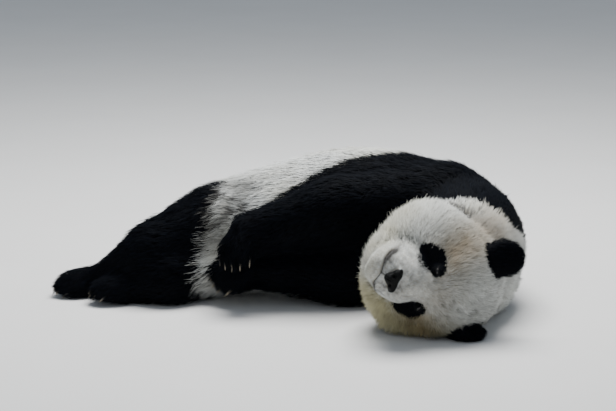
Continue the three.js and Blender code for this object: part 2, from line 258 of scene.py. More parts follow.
@dataclass(frozen=True)
class Face:
    """Lines and forms of the face, in millimetres of the head's frame."""

    front: float = -75  # the face is what lies past this y
    muzzle_front: float = 20  # and the end of the muzzle past this
    eye_out: float = 50  # how far an eye lies from the middle
    muzzle_tip: Triple = (0, 66, -82)
    muzzle_level: float = -84
    muzzle_half_width: float = 70
    muzzle_half_height: float = 74
    muzzle_size: float = 66  # how far the muzzle's tints reach
    nose_level: float = -83
    lip_line: tuple[Pair, ...] = ((0, -114), (14, -116), (32, -119), (48, -116), (58, -108))
    lip_reach: float = 58
    # the fold where the cheek meets the side of the neck, in the frame of the solids
    fold_ends: tuple[Triple, Triple] = ((412, -118, 296), (447, -158, 284))
    fold_depth: float = 45  # places deeper than this under the fold aren't part of it

    def lip_level(self, x: np.ndarray) -> np.ndarray:
        """The height of the closed mouth at a distance from the middle."""
        across, up = np.array(self.lip_line, float).T
        return np.interp(x, across, up)

    def lip_share(self, x: np.ndarray) -> np.ndarray:
        """1 along the mouth and 0 past its corners, at a distance from the middle."""
        return 1 - ease(self.lip_reach - 8, self.lip_reach + 10, x)

    def on_muzzle(self, x: np.ndarray, z: np.ndarray) -> np.ndarray:
        """How near places are to the middle of the muzzle, from 0 to 1."""
        return blob(np.hypot(x, z - self.muzzle_level), self.muzzle_size)

    def from_tip(self, local: np.ndarray) -> np.ndarray:
        """How far points lie from the tip of the muzzle."""
        return np.linalg.norm(local - np.array(self.muzzle_tip), axis=1)

    def from_eye(self, local: np.ndarray) -> np.ndarray:
        """How far points lie from the nearer eye."""
        return np.linalg.norm(np.stack([np.abs(local[:, 0]) - self.eye_out, *local.T[1:]], axis=1), axis=1)

    def relief(self, local: np.ndarray) -> np.ndarray:
        """Works out how far the flesh stands out of the merged solids.

        Each form is a height in millimetres on bells and steps, and each is named for what it forms.

        Args:
            local: points of the face.

        Returns:
            Heights in millimetres, below zero in the hollows.
        """
        x, z = np.abs(local[:, 0]), local[:, 2]
        above = z - self.lip_level(x)
        lips = self.lip_share(x)
        out = np.hypot(x / self.muzzle_half_width, (z - self.muzzle_level) / self.muzzle_half_height)
        low = 1 - 0.65 * ease(-50, -8, z)
        muzzle = 11 * ease(0.25, 0.68, out) * (1 - ease(0.78, 1.06, out)) * low
        moat = 7 * blob(out - 1.17, 0.14) * ease(24, 52, x) * (z > -150)
        bridge = 2 * blob(x, 15) * blob(z + 25, 34)
        socket = 5 * blob(np.hypot(x - 62, z + 14), 30)
        brow = 3 * blob(np.hypot(x - 48, (z - 34) * 1.4), 24)
        mouth = 4 * blob(above, 4.0) * lips
        upper_lip = 3 * blob(above - 9, 7) * blob(x - 26, 20)
        lower_lip = 4 * blob(above + 9, 8) * lips
        chin = 6 * blob(above + 25, 11) * blob(x, 30)
        throat = 5 * blob(above + 44, 9) * blob(x, 44)
        parted = 1.5 * blob(x, 2.2) * ease(-118, -112, z) * ease(-98, -103, z)
        jaws = upper_lip + chin - mouth - lower_lip - throat - parted
        return muzzle - moat + jaws + bridge - socket + brow

    def soot_and_shade(self, local: np.ndarray) -> np.ndarray:
        """Works out how dark the short hair is along the mouth and under the nose, and the smudges on the
        bridge, which are partly dirt and partly painted shade.

        Args:
            local: points of the head.

        Returns:
            Values from 0 to 1.
        """
        x, y, z = local.T
        above = z - self.lip_level(np.abs(x))
        line = (0.85 - 0.45 * ease(10, -10, x)) * blob(above, 4.0 + 1.5 * (x > 0))
        line = line * self.lip_share(np.abs(x))
        corner = 0.95 * blob(np.hypot((np.abs(x) - self.lip_reach + 12) / 1.9, above + 2), 8.5)
        # smudges beside the bridge: partly a dirt mark and partly painted shade on the muzzle's sides
        smudge_and_shade = 0.5 * blob(np.hypot(x - 20, z + 28), 9) + 0.35 * blob(np.hypot(x + 7, z + 46), 13)
        parted = 0.9 * blob(x, 2.0) * ease(-119, -113, z) * ease(-96, -101, z)
        return np.clip(corner + line + smudge_and_shade + parted, 0, 1) * (y > self.front)

    def fold(self, places: np.ndarray, normals: np.ndarray, size: float) -> np.ndarray:
        """Works out how near places are to the fold, measured along the surface.

        Args:
            places: points of the surface, in metres.
            normals: the outward direction at each.
            size: how wide the fold is, in millimetres.

        Returns:
            Values from 0 to 1.
        """
        start, end = np.array(self.fold_ends) * MM
        share = np.clip((places - start) @ (end - start) / ((end - start) @ (end - start)), 0, 1)
        apart = places - start - share[:, None] * (end - start)
        deep = (apart * normals).sum(1, keepdims=True)
        near = blob(np.linalg.norm(apart - deep * normals, axis=1), size * MM)
        return near * (np.abs(deep[:, 0]) < self.fold_depth * MM)


FACE = Face()


# ---------------------------------------------------------------- materials

Colour = tuple[float, float, float, float]
Feed = float | Colour | str | bpy.types.NodeSocket


class Blend(Enum):
    """How a colour is laid over another."""

    COVER = "MIX"
    MULTIPLIED = "MULTIPLY"


def linear(code: str) -> Colour:
    """Turns an sRGB hex code to a linear colour.

    Args:
        code: six hex digits.

    Returns:
        Red, green and blue, with an alpha of one.
    """
    parts = [int(code[i : i + 2], 16) / 255 for i in (0, 2, 4)]
    rgb = [p / 12.92 if p <= 0.04045 else ((p + 0.055) / 1.055) ** 2.4 for p in parts]
    return (*rgb, 1.0)


def add_node(
    tree: bpy.types.NodeTree, kind: str, settings: dict[str, str] | None = None, **inputs: Feed
) -> bpy.types.Node:
    """Adds one shader node with its settings and links.

    Args:
        tree: the material's node tree.
        kind: the node's type name.
        settings: its properties, by name.
        **inputs: its sockets, named with underscores for spaces, or numbered as _0. Each takes a value, the
            socket that feeds it, or the name of the mesh attribute that does.

    Returns:
        The node.
    """
    node = tree.nodes.new(kind)
    for name, value in (settings or {}).items():
        setattr(node, name, value)
    for name, value in inputs.items():
        socket = node.inputs[int(name[1:])] if name[0] == "_" else node.inputs[name.replace("_", " ")]
        if isinstance(value, str):
            value = add_node(tree, "ShaderNodeAttribute", {"attribute_name": value}).outputs["Fac"]
        if isinstance(value, bpy.types.NodeSocket):
            tree.links.new(value, socket)
        else:
            socket.default_value = value
    return node


def layered(
    tree: bpy.types.NodeTree, ground: Feed, *layers: tuple[Feed, Feed], blend: Blend = Blend.COVER
) -> bpy.types.NodeSocket:
    """Lays colours over a ground, one after the other.

    Args:
        tree: the material's node tree.
        ground: the lowest colour.
        *layers: how strong each layer is, and its colour.
        blend: how the layers are laid on.

    Returns:
        The socket of the colour that results.
    """
    settings = {"data_type": "RGBA", "blend_type": blend.value}
    for share, colour in layers:
        ground = add_node(tree, "ShaderNodeMix", settings, _0=share, _6=ground, _7=colour).outputs[2]
    return ground


TINTS = {"cream": "D6CBA2", "brown": "C4B09A", "grime_and_shade": "4A4746"}  # the coat's stains and painted shade, by attribute


def stained_and_shaded(tree: bpy.types.NodeTree, colour: Feed) -> bpy.types.NodeSocket:
    """A colour with the coat's stains and painted shade over it."""
    return layered(tree, colour, *((name, linear(code)) for name, code in TINTS.items()), blend=Blend.MULTIPLIED)


class Finish:
    """What every finish has: a name, and one shader that its colours and patterns feed."""

    name: str

    def look(self, tree: bpy.types.NodeTree) -> dict[str, Feed]:
        """Adds the finish's nodes to the tree, and gives what feeds each socket of the shader."""
        raise NotImplementedError

    def material(self) -> bpy.types.Material:
        """Makes the material.

        Returns:
            The material, under the finish's name.
        """
        material = bpy.data.materials.new(self.name)
        material.use_nodes = True
        tree = material.node_tree
        tree.nodes.clear()
        shader = add_node(tree, "ShaderNodeBsdfPrincipled", **self.look(tree))
        add_node(tree, "ShaderNodeOutputMaterial", Surface=shader.outputs["BSDF"])
        return material


@dataclass(frozen=True)
class WhiteFur(Finish):
    """Bear's white guard hair, grown and weathered."""

    # to the eye: matt and never clean, greyer in the depth of the coat by painted shade, drier and palest
    # at the tips
    name: str = "white bear fur"
    # the root's colour is painted shade deep in the coat
    root: str = "A8A69D"
    tip: str = "F1F5F5"
    shade: float = 0.13  # how much tufts differ

    def look(self, tree: bpy.types.NodeTree) -> dict[str, Feed]:
        """Hair whose colour runs from a painted shade at the root to the tip, with a tone for each tuft,
        stains and painted shade.

        Args:
            tree: the material's node tree.

        Returns:
            What feeds each socket of the shader.
        """
        along = layered(tree, linear(self.root), ("out_of_coat_shade", linear(self.tip)))
        shade = add_node(tree, "ShaderNodeMapRange", Value="tone", _3=1 - self.shade, _4=1.0).outputs[0]
        grey = add_node(tree, "ShaderNodeCombineColor", _0=shade, _1=shade, _2=shade).outputs[0]
        colour = layered(tree, stained_and_shaded(tree, along), (1.0, grey), blend=Blend.MULTIPLIED)
        return {
            "Base_Color": colour,
            "Roughness": 0.7,
            "Sheen_Weight": 0.2,
            "Sheen_Roughness": 0.5,
            "Specular_IOR_Level": 0.15,
        }


@dataclass(frozen=True)
class BlackFur(Finish):
    """Bear's black guard hair, grown and weathered."""

    # to the eye: soot black that swallows the form, darker at the roots by painted shade, with a painted
    # faint cold sheen towards the tips
    name: str = "black bear fur"
    # painted shade darkens the root; the cold blue of the tip and of the dust colour is a painted sheen of
    # the sky
    root: str = "030304"
    tip: str = "080B11"
    dust_and_sheen: str = "0C1017"
    dust_and_sheen_from: float = 0.6  # tufts whose tone is past this begin to take the dust colour with its painted cold sheen

    def look(self, tree: bpy.types.NodeTree) -> dict[str, Feed]:
        """Near black, darker at the root by painted shade, a little lighter and colder at the tips by a
        painted sheen, and duller in some tufts.

        Args:
            tree: the material's node tree.

        Returns:
            What feeds each socket of the shader.
        """
        along = layered(tree, linear(self.root), ("out_of_coat_shade", linear(self.tip)))
        some = add_node(tree, "ShaderNodeMapRange", Value="tone", _1=self.dust_and_sheen_from, _2=1.0).outputs[0]
        return {
            "Base_Color": layered(tree, along, (some, linear(self.dust_and_sheen))),
            "Roughness": 0.68,
            "Sheen_Weight": 0.002,
            "Sheen_Roughness": 0.4,
            "Specular_IOR_Level": 0.04,
        }


@dataclass(frozen=True)
class HideFinish(Finish):
    """The short underfur that shows between the tufts, and the bare hide of lips and lids."""

    # to the eye: a dull felt, off-white or black as the coat over it is, with dark edges at lips and lids
    name: str = "short underfur and hide"
    pale: str = "D3CEC3"
    worn: str = "B4AEA1"
    dark: str = "050506"
    lip: str = "100E0F"
    # hairs of underfur stand some 0.3 mm apart, too fine to show, so they are drawn as clumps of this size
    clump: float = 1.1 * MM
    nap: float = 0.6 * MM  # how far the clumps stand up

    def look(self, tree: bpy.types.NodeTree) -> dict[str, Feed]:
        """White or black by the coat's markings, with bare dark skin at lips and lids.

        Args:
            tree: the material's node tree.

        Returns:
            What feeds each socket of the shader.
        """
        place = add_node(tree, "ShaderNodeTexCoord").outputs["Object"]
        clumps = add_node(tree, "ShaderNodeTexNoise", Vector=place, Scale=1 / self.clump, Detail=2.0)
        clumps = clumps.outputs["Fac"]
        pale = stained_and_shaded(tree, layered(tree, linear(self.pale), (clumps, linear(self.worn))))
        bump = add_node(tree, "ShaderNodeBump", Strength=0.5, Distance=self.nap, Height=clumps)
        return {
            "Base_Color": layered(tree, pale, ("black", linear(self.dark)), ("bare", linear(self.lip))),
            "Roughness": 0.8,
            "Specular_IOR_Level": 0.2,
            "Normal": bump.outputs["Normal"],
        }


@dataclass(frozen=True)
class NoseFinish(Finish):
    """Bare nose leather, pebbled and damp."""

    # to the eye: black, with a damp glint that the pebbles break up
    name: str = "damp nose leather"
    colour: str = "030303"
    worn: str = "080808"
    # the pebbles are about 1 mm across, too fine to show, so they are drawn twice as coarse
    pebble: float = 2.2 * MM
    relief: float = 0.5 * MM
    gap: float = 0.18  # the share of a pebble that the groove round it takes

    def look(self, tree: bpy.types.NodeTree) -> dict[str, Feed]:
        """Pebbled cells with damp hollows.

        Args:
            tree: the material's node tree.

        Returns:
            What feeds each socket of the shader.
        """
        place = add_node(tree, "ShaderNodeTexCoord").outputs["Object"]
        edges = {"feature": "DISTANCE_TO_EDGE"}
        cells = add_node(tree, "ShaderNodeTexVoronoi", edges, Vector=place, Scale=1 / self.pebble)
        distance = cells.outputs["Distance"]
        height = add_node(tree, "ShaderNodeMapRange", Value=distance, _1=0.0, _2=self.gap).outputs[0]
        bump = add_node(tree, "ShaderNodeBump", Strength=0.6, Distance=self.relief, Height=height)
        return {
            "Base_Color": layered(tree, linear(self.colour), (height, linear(self.worn))),
            "Roughness": 0.42,
            "Specular_IOR_Level": 0.1,
            "Normal": bump.outputs["Normal"],
        }


@dataclass(frozen=True)
class EyeFinish(Finish):
    """A bear's brown eye under its film of tears."""

    # to the eye: almost black and wet, so that only a small glint shows between the lids
    name: str = "wet dark eye"
    pupil: str = "020202"
    iris: str = "1A0D07"
    white: str = "15100E"
    pupil_edge: Pair = (0.30, 0.36)  # where one ring turns to the next, in radians off the line of sight
    iris_edge: Pair = (0.72, 0.82)

    def look(self, tree: bpy.types.NodeTree) -> dict[str, Feed]:
        """Rings round the line of sight, under a clear wet film.

        Args:
            tree: the material's node tree.

        Returns:
            What feeds each socket of the shader.
        """
        rings = []
        for (start, end), code in ((self.pupil_edge, self.iris), (self.iris_edge, self.white)):
            soft = {"interpolation_type": "SMOOTHSTEP"}
            edge = add_node(tree, "ShaderNodeMapRange", soft, Value="ring", _1=start, _2=end)
            rings.append((edge.outputs[0], linear(code)))
        return {
            "Base_Color": layered(tree, linear(self.pupil), *rings),
            "Roughness": 0.08,
            "Coat_Weight": 0.4,
            "Coat_Roughness": 0.1,
            "IOR": 1.38,
        }


@dataclass(frozen=True)
class ClawFinish(Finish):
    """Claw horn, grown in layers and worn by the ground."""

    # to the eye: pale and half glossy with faint streaks, and darker where it leaves the toe
    name: str = "pale claw horn"
    pale: str = "8F8574"
    worn: str = "7C7261"
    dark: str = "1B1715"
    # the horn's layers are well under 1 mm thick, too fine to show, so they are drawn as streaks this wide
    streak: float = 3.846 * MM
    relief: float = 0.4 * MM

    def look(self, tree: bpy.types.NodeTree) -> dict[str, Feed]:
        """Horn with long faint streaks.

        Args:
            tree: the material's node tree.

        Returns:
            What feeds each socket of the shader.
        """
        place = add_node(tree, "ShaderNodeTexCoord").outputs["Object"]
        streaks = add_node(tree, "ShaderNodeTexNoise", Vector=place, Scale=1 / self.streak, Detail=3.0)
        streaks = streaks.outputs["Fac"]
        bump = add_node(tree, "ShaderNodeBump", Strength=0.3, Distance=self.relief, Height=streaks)
        layers = ((streaks, linear(self.worn)), ("root", linear(self.dark)))
        return {
            "Base_Color": layered(tree, linear(self.pale), *layers),
            "Roughness": 0.35,
            "Normal": bump.outputs["Normal"],
        }


@dataclass(frozen=True)
class FloorFinish(Finish):
    """Matt wall paint, rolled on."""

    # to the eye: a pale, even ground with no gloss, which takes the soft shadow
    name: str = "pale studio floor"
    colour: str = "E4E3E0"
    worn: str = "DEDDDA"
    cloud: float = 333.3 * MM  # how far apart the faint clouds of the paint lie

    def look(self, tree: bpy.types.NodeTree) -> dict[str, Feed]:
        """Paint with the faintest mottle.

        Args:
            tree: the material's node tree.

        Returns:
            What feeds each socket of the shader.
        """
        place = add_node(tree, "ShaderNodeTexCoord").outputs["Object"]
        clouds = add_node(tree, "ShaderNodeTexNoise", Vector=place, Scale=1 / self.cloud, Detail=2.0)
        colour = layered(tree, linear(self.colour), (clouds.outputs["Fac"], linear(self.worn)))
        return {"Base_Color": colour, "Roughness": 0.9}


# ---------------------------------------------------------------- meshes


def numbers_of(items: bpy.types.bpy_prop_collection, name: str, each: int, kind: type) -> np.ndarray:
    """Reads one property of a mesh's elements.

    Args:
        items: its vertices, edges, corners or a layer's data.
        name: the property.
        each: how many numbers an element has.
        kind: the type of the numbers.

    Returns:
        A row of numbers for each element.
    """
    values = np.empty(len(items) * each, kind)
    items.foreach_get(name, values)
    return values.reshape(-1, each)


class Surface:
    """A triangle mesh as arrays, with what is smoothed over it."""

    def __init__(self, mesh: bpy.types.Mesh) -> None:
        """Reads the mesh.

        Args:
            mesh: a mesh whose faces are all triangles.
        """
        self.mesh = mesh
        self.places = numbers_of(mesh.vertices, "co", 3, np.float32).astype(float)
        self.edges = numbers_of(mesh.edges, "vertices", 2, np.int32)
        self.faces = numbers_of(mesh.loops, "vertex_index", 1, np.int32).reshape(-1, 3)
        self.degree = np.bincount(self.edges.ravel(), minlength=len(self.places))

    def around(self, values: np.ndarray) -> np.ndarray:
        """Averages over each vertex's neighbours.

        Args:
            values: one value or vector for each vertex.

        Returns:
            The neighbours' mean for each vertex.
        """
        first, second = self.edges.T
        flat = values.reshape(len(values), -1)
        total = np.empty_like(flat, float)
        for column in range(flat.shape[1]):
            kept = flat[:, column]
            total[:, column] = np.bincount(first, kept[second], len(kept))
            total[:, column] += np.bincount(second, kept[first], len(kept))
        return (total / np.maximum(self.degree, 1)[:, None]).reshape(values.shape)

    def relaxed(self, values: np.ndarray, rounds: int, share: float | np.ndarray = 0.5) -> np.ndarray:
        """Evens values out over the mesh.

        Args:
            values: one value or vector for each vertex.
            rounds: how many times.
            share: how far each goes to its neighbours' mean.

        Returns:
            The smoothed values.
        """
        for _ in range(rounds):
            values = values + (self.around(values) - values) * share
        return values

    def crosses(self) -> np.ndarray:
        """The cross product of two edges of each face, which is twice as long as the face is large."""
        a, b, c = (self.places[self.faces[:, i]] for i in range(3))
        return np.cross(b - a, c - a)

    def areas(self) -> np.ndarray:
        """The area of each face."""
        return np.linalg.norm(self.crosses(), axis=1) / 2

    def normals(self) -> np.ndarray:
        """Works out the outward direction at each vertex.

        Returns:
            Vectors of length one.
        """
        crosses = self.crosses()
        total = np.zeros_like(self.places)
        for axis in range(3):
            for corner in range(3):
                total[:, axis] += np.bincount(self.faces[:, corner], crosses[:, axis], len(total))
        return unit(total)

    def push(self, amount: np.ndarray | float, way: np.ndarray | None = None) -> None:
        """Moves the vertices out along their normals, or along one way, by amounts in metres."""
        way = self.normals() if way is None else way
        self.places += way * np.reshape(amount, (-1, 1))

    def write(self) -> None:
        """Puts the places back into the mesh."""
        self.mesh.vertices.foreach_set("co", self.places.astype(np.float32).ravel())
        self.mesh.update()


def set_attribute(mesh: bpy.types.Mesh, name: str, values: np.ndarray) -> None:
    """Gives the mesh one number for each vertex, under a name."""
    attribute = mesh.attributes.new(name, "FLOAT", "POINT")
    attribute.data.foreach_set("value", values.astype(np.float32))


def mesh_of(name: str, shape: bmesh.types.BMesh) -> bpy.types.Mesh:
    """Turns a shape to a mesh.

    Args:
        name: the mesh's name.
        shape: the shape, freed here.

    Returns:
        The mesh.
    """
    mesh = bpy.data.meshes.new(name)
    shape.to_mesh(mesh)
    shape.free()
    return mesh


def object_of(name: str, data: bpy.types.ID) -> bpy.types.Object:
    """Puts a mesh, a lamp or a camera into the scene.

    Args:
        name: the object's name.
        data: what it shows.

    Returns:
        The object, at the origin.
    """
    thing = bpy.data.objects.new(name, data)
    bpy.context.scene.collection.objects.link(thing)
    return thing


def smooth_piece(name: str, mesh: bpy.types.Mesh, finish: Finish) -> bpy.types.Object:
    """Puts a mesh into the scene as a smooth piece with a finish.

    Args:
        name: the piece's name.
        mesh: its mesh.
        finish: what it is dressed in.

    Returns:
        The piece.
    """
    mesh.shade_smooth()
    mesh.materials.append(finish.material())
    return object_of(name, mesh)


WELD = 0.001 * MM


def merged_copy(nodes: tuple[str, ...]) -> bmesh.types.BMesh:
    """Copies solids into one shape and merges their doubled vertices.

    Args:
        nodes: the solids.

    Returns:
        The shape, made of one closed shell for each solid.
    """
    joined = bmesh.new()
    for node in nodes:
        joined.from_mesh(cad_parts[node].data)
    bmesh.ops.remove_doubles(joined, verts=joined.verts, dist=WELD)
    return joined


def remeshed(shape: bmesh.types.BMesh, voxel: float) -> bpy.types.Mesh:
    """Makes the shape one even closed surface.

    Args:
        shape: closed shells, freed here.
        voxel: the size of its new faces, in metres.

    Returns:
        The new mesh.
    """
    thing = object_of("rough", mesh_of("rough", shape))
    remesh = thing.modifiers.new("remesh", "REMESH")
    remesh.mode = "VOXEL"
    remesh.voxel_size = voxel
    bpy.context.view_layer.update()
    graph = bpy.context.evaluated_depsgraph_get()
    mesh = bpy.data.meshes.new_from_object(thing.evaluated_get(graph))
    bpy.data.objects.remove(thing)
    return mesh


# ---------------------------------------------------------------- coat by region


@dataclass(frozen=True)
class Pelt:
    """The coat of one part of the body, in millimetres and degrees."""

    length: float
    width: float
    spacing: float
    lift: float


PELTS = {
    Region.TRUNK: Pelt(42, 1.8, 3.4, 22),
    Region.CHEST: Pelt(38, 2.1, 3.7, 22),
    Region.TAIL: Pelt(36, 2.1, 3.5, 26),
    Region.NECK: Pelt(36, 2.0, 3.6, 25),
    Region.HEAD: Pelt(32, 1.45, 2.6, 19),
    Region.EAR: Pelt(17, 1.4, 2.0, 34),
    Region.ARM: Pelt(34, 2.1, 3.7, 21),
    Region.PAW: Pelt(25, 1.7, 2.7, 22),
    Region.LEG: Pelt(36, 2.1, 3.7, 21),
    Region.FOOT: Pelt(23, 1.7, 2.7, 20),
}
STEEP = 1.45  # a tuft leaves the skin this much steeper than its lift
SHALLOW = 0.55  # and then lies down to this share of it
BEND = 0.45  # where along its length it bends


def rise_share(lift: np.ndarray) -> np.ndarray:
    """How far a tuft's tip stands off the skin, against its length."""
    return BEND * np.sin(STEEP * lift) + (1 - BEND) * np.sin(SHALLOW * lift)


def region_values(name: str) -> np.ndarray:
    """One size of every region's coat, in order, in metres or radians."""
    scale = math.radians(1) if name == "lift" else MM
    return np.array([getattr(PELTS[region], name) for region in REGIONS]) * scale


@dataclass(frozen=True)
class Ramp:
    """A length of hair that grows with its distance from something, in millimetres."""

    least: float
    gain: float
    near: float  # it begins to grow this far away
    far: float  # and stops here

    def at(self, distance: np.ndarray) -> np.ndarray:
        """The length at some distances."""
        return self.least + self.gain * ease(self.near, self.far, distance)


@dataclass(frozen=True)
class Markings:
    """Where the coat is black. Each line is set in the frame of the solids, in millimetres."""

    # the black of arms and shoulders begins past these x, y, from the belly to the spine
    saddle: tuple[Pair, ...] = ((-100, 46), (-66, 59), (246, 181), (323, 239), (338, 300))
    # how squarely x crosses that line, from its second point on
    saddle_slant: tuple[float, ...] = (0.37, 0.45, 0.8, 1.0)
    hip: Pair = (-252, 0.45)  # x where the hip line meets y = 0, and its slope
    rump: float = 200  # the rump is white past this y
    collar: float = -66  # the neck is black past this y
    nape: Pair = (560, 605)  # the collar turns back between these x
    nape_turn: float = 45  # by so much
    throat: Pair = (500, 545)  # and again between these x, below these z
    throat_height: Pair = (230, 120)
    throat_turn: float = 75
    # the dark patch of the eye, which droops to its outer lower corner: clockwise, before it is rounded
    patch: tuple[Pair, ...] = ((50, -1), (56, 3), (70, -2), (84, -20), (84, -50), (79, -56), (53, -17))
    patch_rounding: float = 14
    eye_end: Pair = (54, 0)
    eye_end_radius: float = 17
    ear_margin: float = 7
    outside: float = 100  # a depth that no line reaches
    wander: tuple[Noise, Noise] = (Noise(4.5, 40, 11), Noise(2.7, 14, 12))
    head_wander: float = 0.35  # the head's lines wander less

    def eye_patch(self, local: np.ndarray) -> np.ndarray:
        """Works out how far inside an eye patch points of the head lie.

        Args:
            local: the points, in the head's frame.

        Returns:
            Distances in millimetres, below zero outside.
        """
        flat = np.stack([np.abs(local[:, 0]), local[:, 2]], axis=1)
        corners = np.array(self.patch)
        nearest = np.full(len(flat), np.inf)
        inner = np.full(len(flat), np.inf)
        for start, end in zip(corners, np.roll(corners, -1, axis=0)):
            line = end - start
            offset = flat - start
            share = np.clip(offset @ line / (line @ line), 0, 1)
            nearest = np.minimum(nearest, np.linalg.norm(offset - share[:, None] * line, axis=1))
            past = (line[1] * offset[:, 0] - line[0] * offset[:, 1]) / np.linalg.norm(line)
            inner = np.minimum(inner, past)
        inside = self.patch_rounding - np.where(inner > 0, 0.0, nearest)
        round_eye = self.eye_end_radius - np.linalg.norm(flat - np.array(self.eye_end), axis=1)
        return np.where(local[:, 1] > FACE.front, np.maximum(inside, round_eye), -self.outside)

    def depth(
        self, places: np.ndarray, local: np.ndarray, region: np.ndarray, to_ear: np.ndarray
    ) -> np.ndarray:
        """Works out how far inside the black points of the coat lie.

        Args:
            places: the points, in metres.
            local: the same in the head's frame.
            region: the index of the region of each.
            to_ear: how far each lies from the nearer ear, in metres.

        Returns:
            Distances in metres, roughly, below zero in the white.
        """
        x, y, z = places.T / MM
        line_x, line_y = np.array(self.saddle).T
        slant = np.interp(y, line_y[1:], self.saddle_slant)
        saddle = (x - np.interp(y, line_y, line_x)) * slant
        hip = np.minimum(self.hip[0] + self.hip[1] * y - x, self.rump - y)
        collar = y - self.collar - ease(*self.nape, x) * self.nape_turn
        collar = collar - ease(*self.throat, x) * ease(*self.throat_height, z) * self.throat_turn
        always = np.full(len(x), self.outside)
        by_region = {
            Region.TRUNK: np.maximum(saddle, hip),
            Region.CHEST: saddle,
            Region.TAIL: -always,
            Region.NECK: collar,
            Region.HEAD: np.maximum(self.eye_patch(local), self.ear_margin - to_ear / MM),
            Region.LEG: hip,
        }
        found = always
        for index, one in enumerate(REGIONS):
            found = np.where(region == index, by_region.get(one, always), found)
        wander = sum(noise.at(places) for noise in self.wander)
        calm = np.where(region == REGIONS.index(Region.HEAD), self.head_wander, 1.0)
        return (found + wander * calm) * MM


@dataclass(frozen=True)
class StainsAndShade:
    """The warm and dirty tints of the white coat and the shade painted into it, in millimetres of the
    head's frame.
    """

    brow: Pair = (112, 22)  # the brown of the brow lies round these x, z
    brow_size: float = 56
    parting: float = 40  # the brown between the brows lies round this z
    parting_size: float = 50
    cheek: Pair = (-38, -125)  # the lower cheek turns cream between these x: partly real yellowing, partly painted warm reflected light and shade
    chin: Pair = (-90, -165)  # the chin turns cream between these z, in the same two ways
    forehead: Pair = (5, 70)  # the forehead grows darker, partly grubby and partly painted shade, between these z, and
    forehead_side: Pair = (80, -20)  # between these x
    # the flank grows darker, partly grubby and partly painted shade, between these x, y and z of the frame
    # of the solids
    flank_x: Pair = (-20, -140)
    flank_y: Pair = (270, 100)
    flank_z: Pair = (100, 250)
    broad: Noise = Noise(0.5, 90, 21)
    fine: Noise = Noise(0.5, 22, 22)
    mottle: tuple[Noise, Noise] = (Noise(0.6, 26, 23), Noise(0.5, 9, 24))
    speckle: tuple[Noise, Noise] = (Noise(0.6, 9, 25), Noise(0.6, 4.5, 26))

    def warmth(
        self, places: np.ndarray, local: np.ndarray, in_head: np.ndarray
    ) -> tuple[np.ndarray, np.ndarray]:
        """Works out how brown and how creamy the coat is; the lower cheek's and chin's cream is partly
        painted warm reflected light and shade.

        Args:
            places: points of the coat, in metres.
            local: the same in the head's frame.
            in_head: 1 for those of the head and neck, and 0 elsewhere.

        Returns:
            Brown and cream for each point, from 0 to 1.
        """
        x, y, z = local.T
        broad = 0.5 + self.broad.at(places)
        fine = 0.5 + self.fine.at(places)
        brow = blob(np.hypot(np.abs(x) - self.brow[0], z - self.brow[1]), self.brow_size)
        between = 0.35 * blob(np.hypot(x, z - self.parting), self.parting_size) * ease(-60, 0, y)
        brown = (0.85 * brow + between) * (0.7 + 0.5 * fine)
        muzzle = FACE.on_muzzle(x, z) * ease(-10, 20, y)
        # cream of the lower cheek and chin: partly real yellowing and partly painted warm reflected light
        # and shade of the head's lower side
        cream = 0.85 * ease(*self.cheek, x) + 0.35 * ease(*self.chin, z)
        cream = (0.22 + cream + 0.2 * brow) * (0.75 + 0.4 * fine) * (1 - 0.85 * muzzle)
        brown = np.where(in_head > 0, brown, 0.12 * broad * fine)
        cream = np.where(in_head > 0, cream, 0.05 + 0.3 * broad**2 + 0.08 * fine)
        return np.clip(brown, 0, 1), np.clip(cream, 0, 1)

    def dirt(self, places: np.ndarray, local: np.ndarray, in_head: np.ndarray) -> np.ndarray:
        """Works out how darkened the coat is, on the face and on the belly's side of the flank, partly by
        real grubbiness and partly by painted shade.

        Args:
            places: points of the coat, in metres.
            local: the same in the head's frame.
            in_head: 1 for those of the head, and 0 elsewhere.

        Returns:
            Values from 0 to 1.
        """
        x, y, z = local.T
        mottled = 0.55 + sum(noise.at(places) for noise in self.mottle)
        speckled = 0.5 + sum(noise.at(places) for noise in self.speckle)
        forehead = 0.5 * ease(*self.forehead, z) * ease(*self.forehead_side, x) * (0.3 + speckled)
        muzzle = FACE.on_muzzle(x, z) * ease(-20, 10, y)
        # painted shade: the muzzle's lower, left side gets more
        muzzle = muzzle * ease(-4, 8, z - FACE.lip_level(np.abs(x))) * (1 + 0.7 * ease(0, -50, x))
        face = np.maximum(forehead, (0.26 + 0.3 * muzzle) * speckled)
        body_x, body_y, body_z = places.T / MM
        # the flank's darkening is partly real grubbiness and partly painted shade, stronger higher up the
        # band
        flank = (0.15 + 0.7 * ease(*self.flank_z, body_z)) * ease(*self.flank_x, body_x)
        flank = flank * ease(*self.flank_y, body_y) * (0.2 + mottled)
        return np.clip(np.where(in_head > 0, face, flank), 0, 1)


MARKINGS = Markings()
STAINS_AND_SHADE = StainsAndShade()


# ---------------------------------------------------------------- eyes, nose and claws


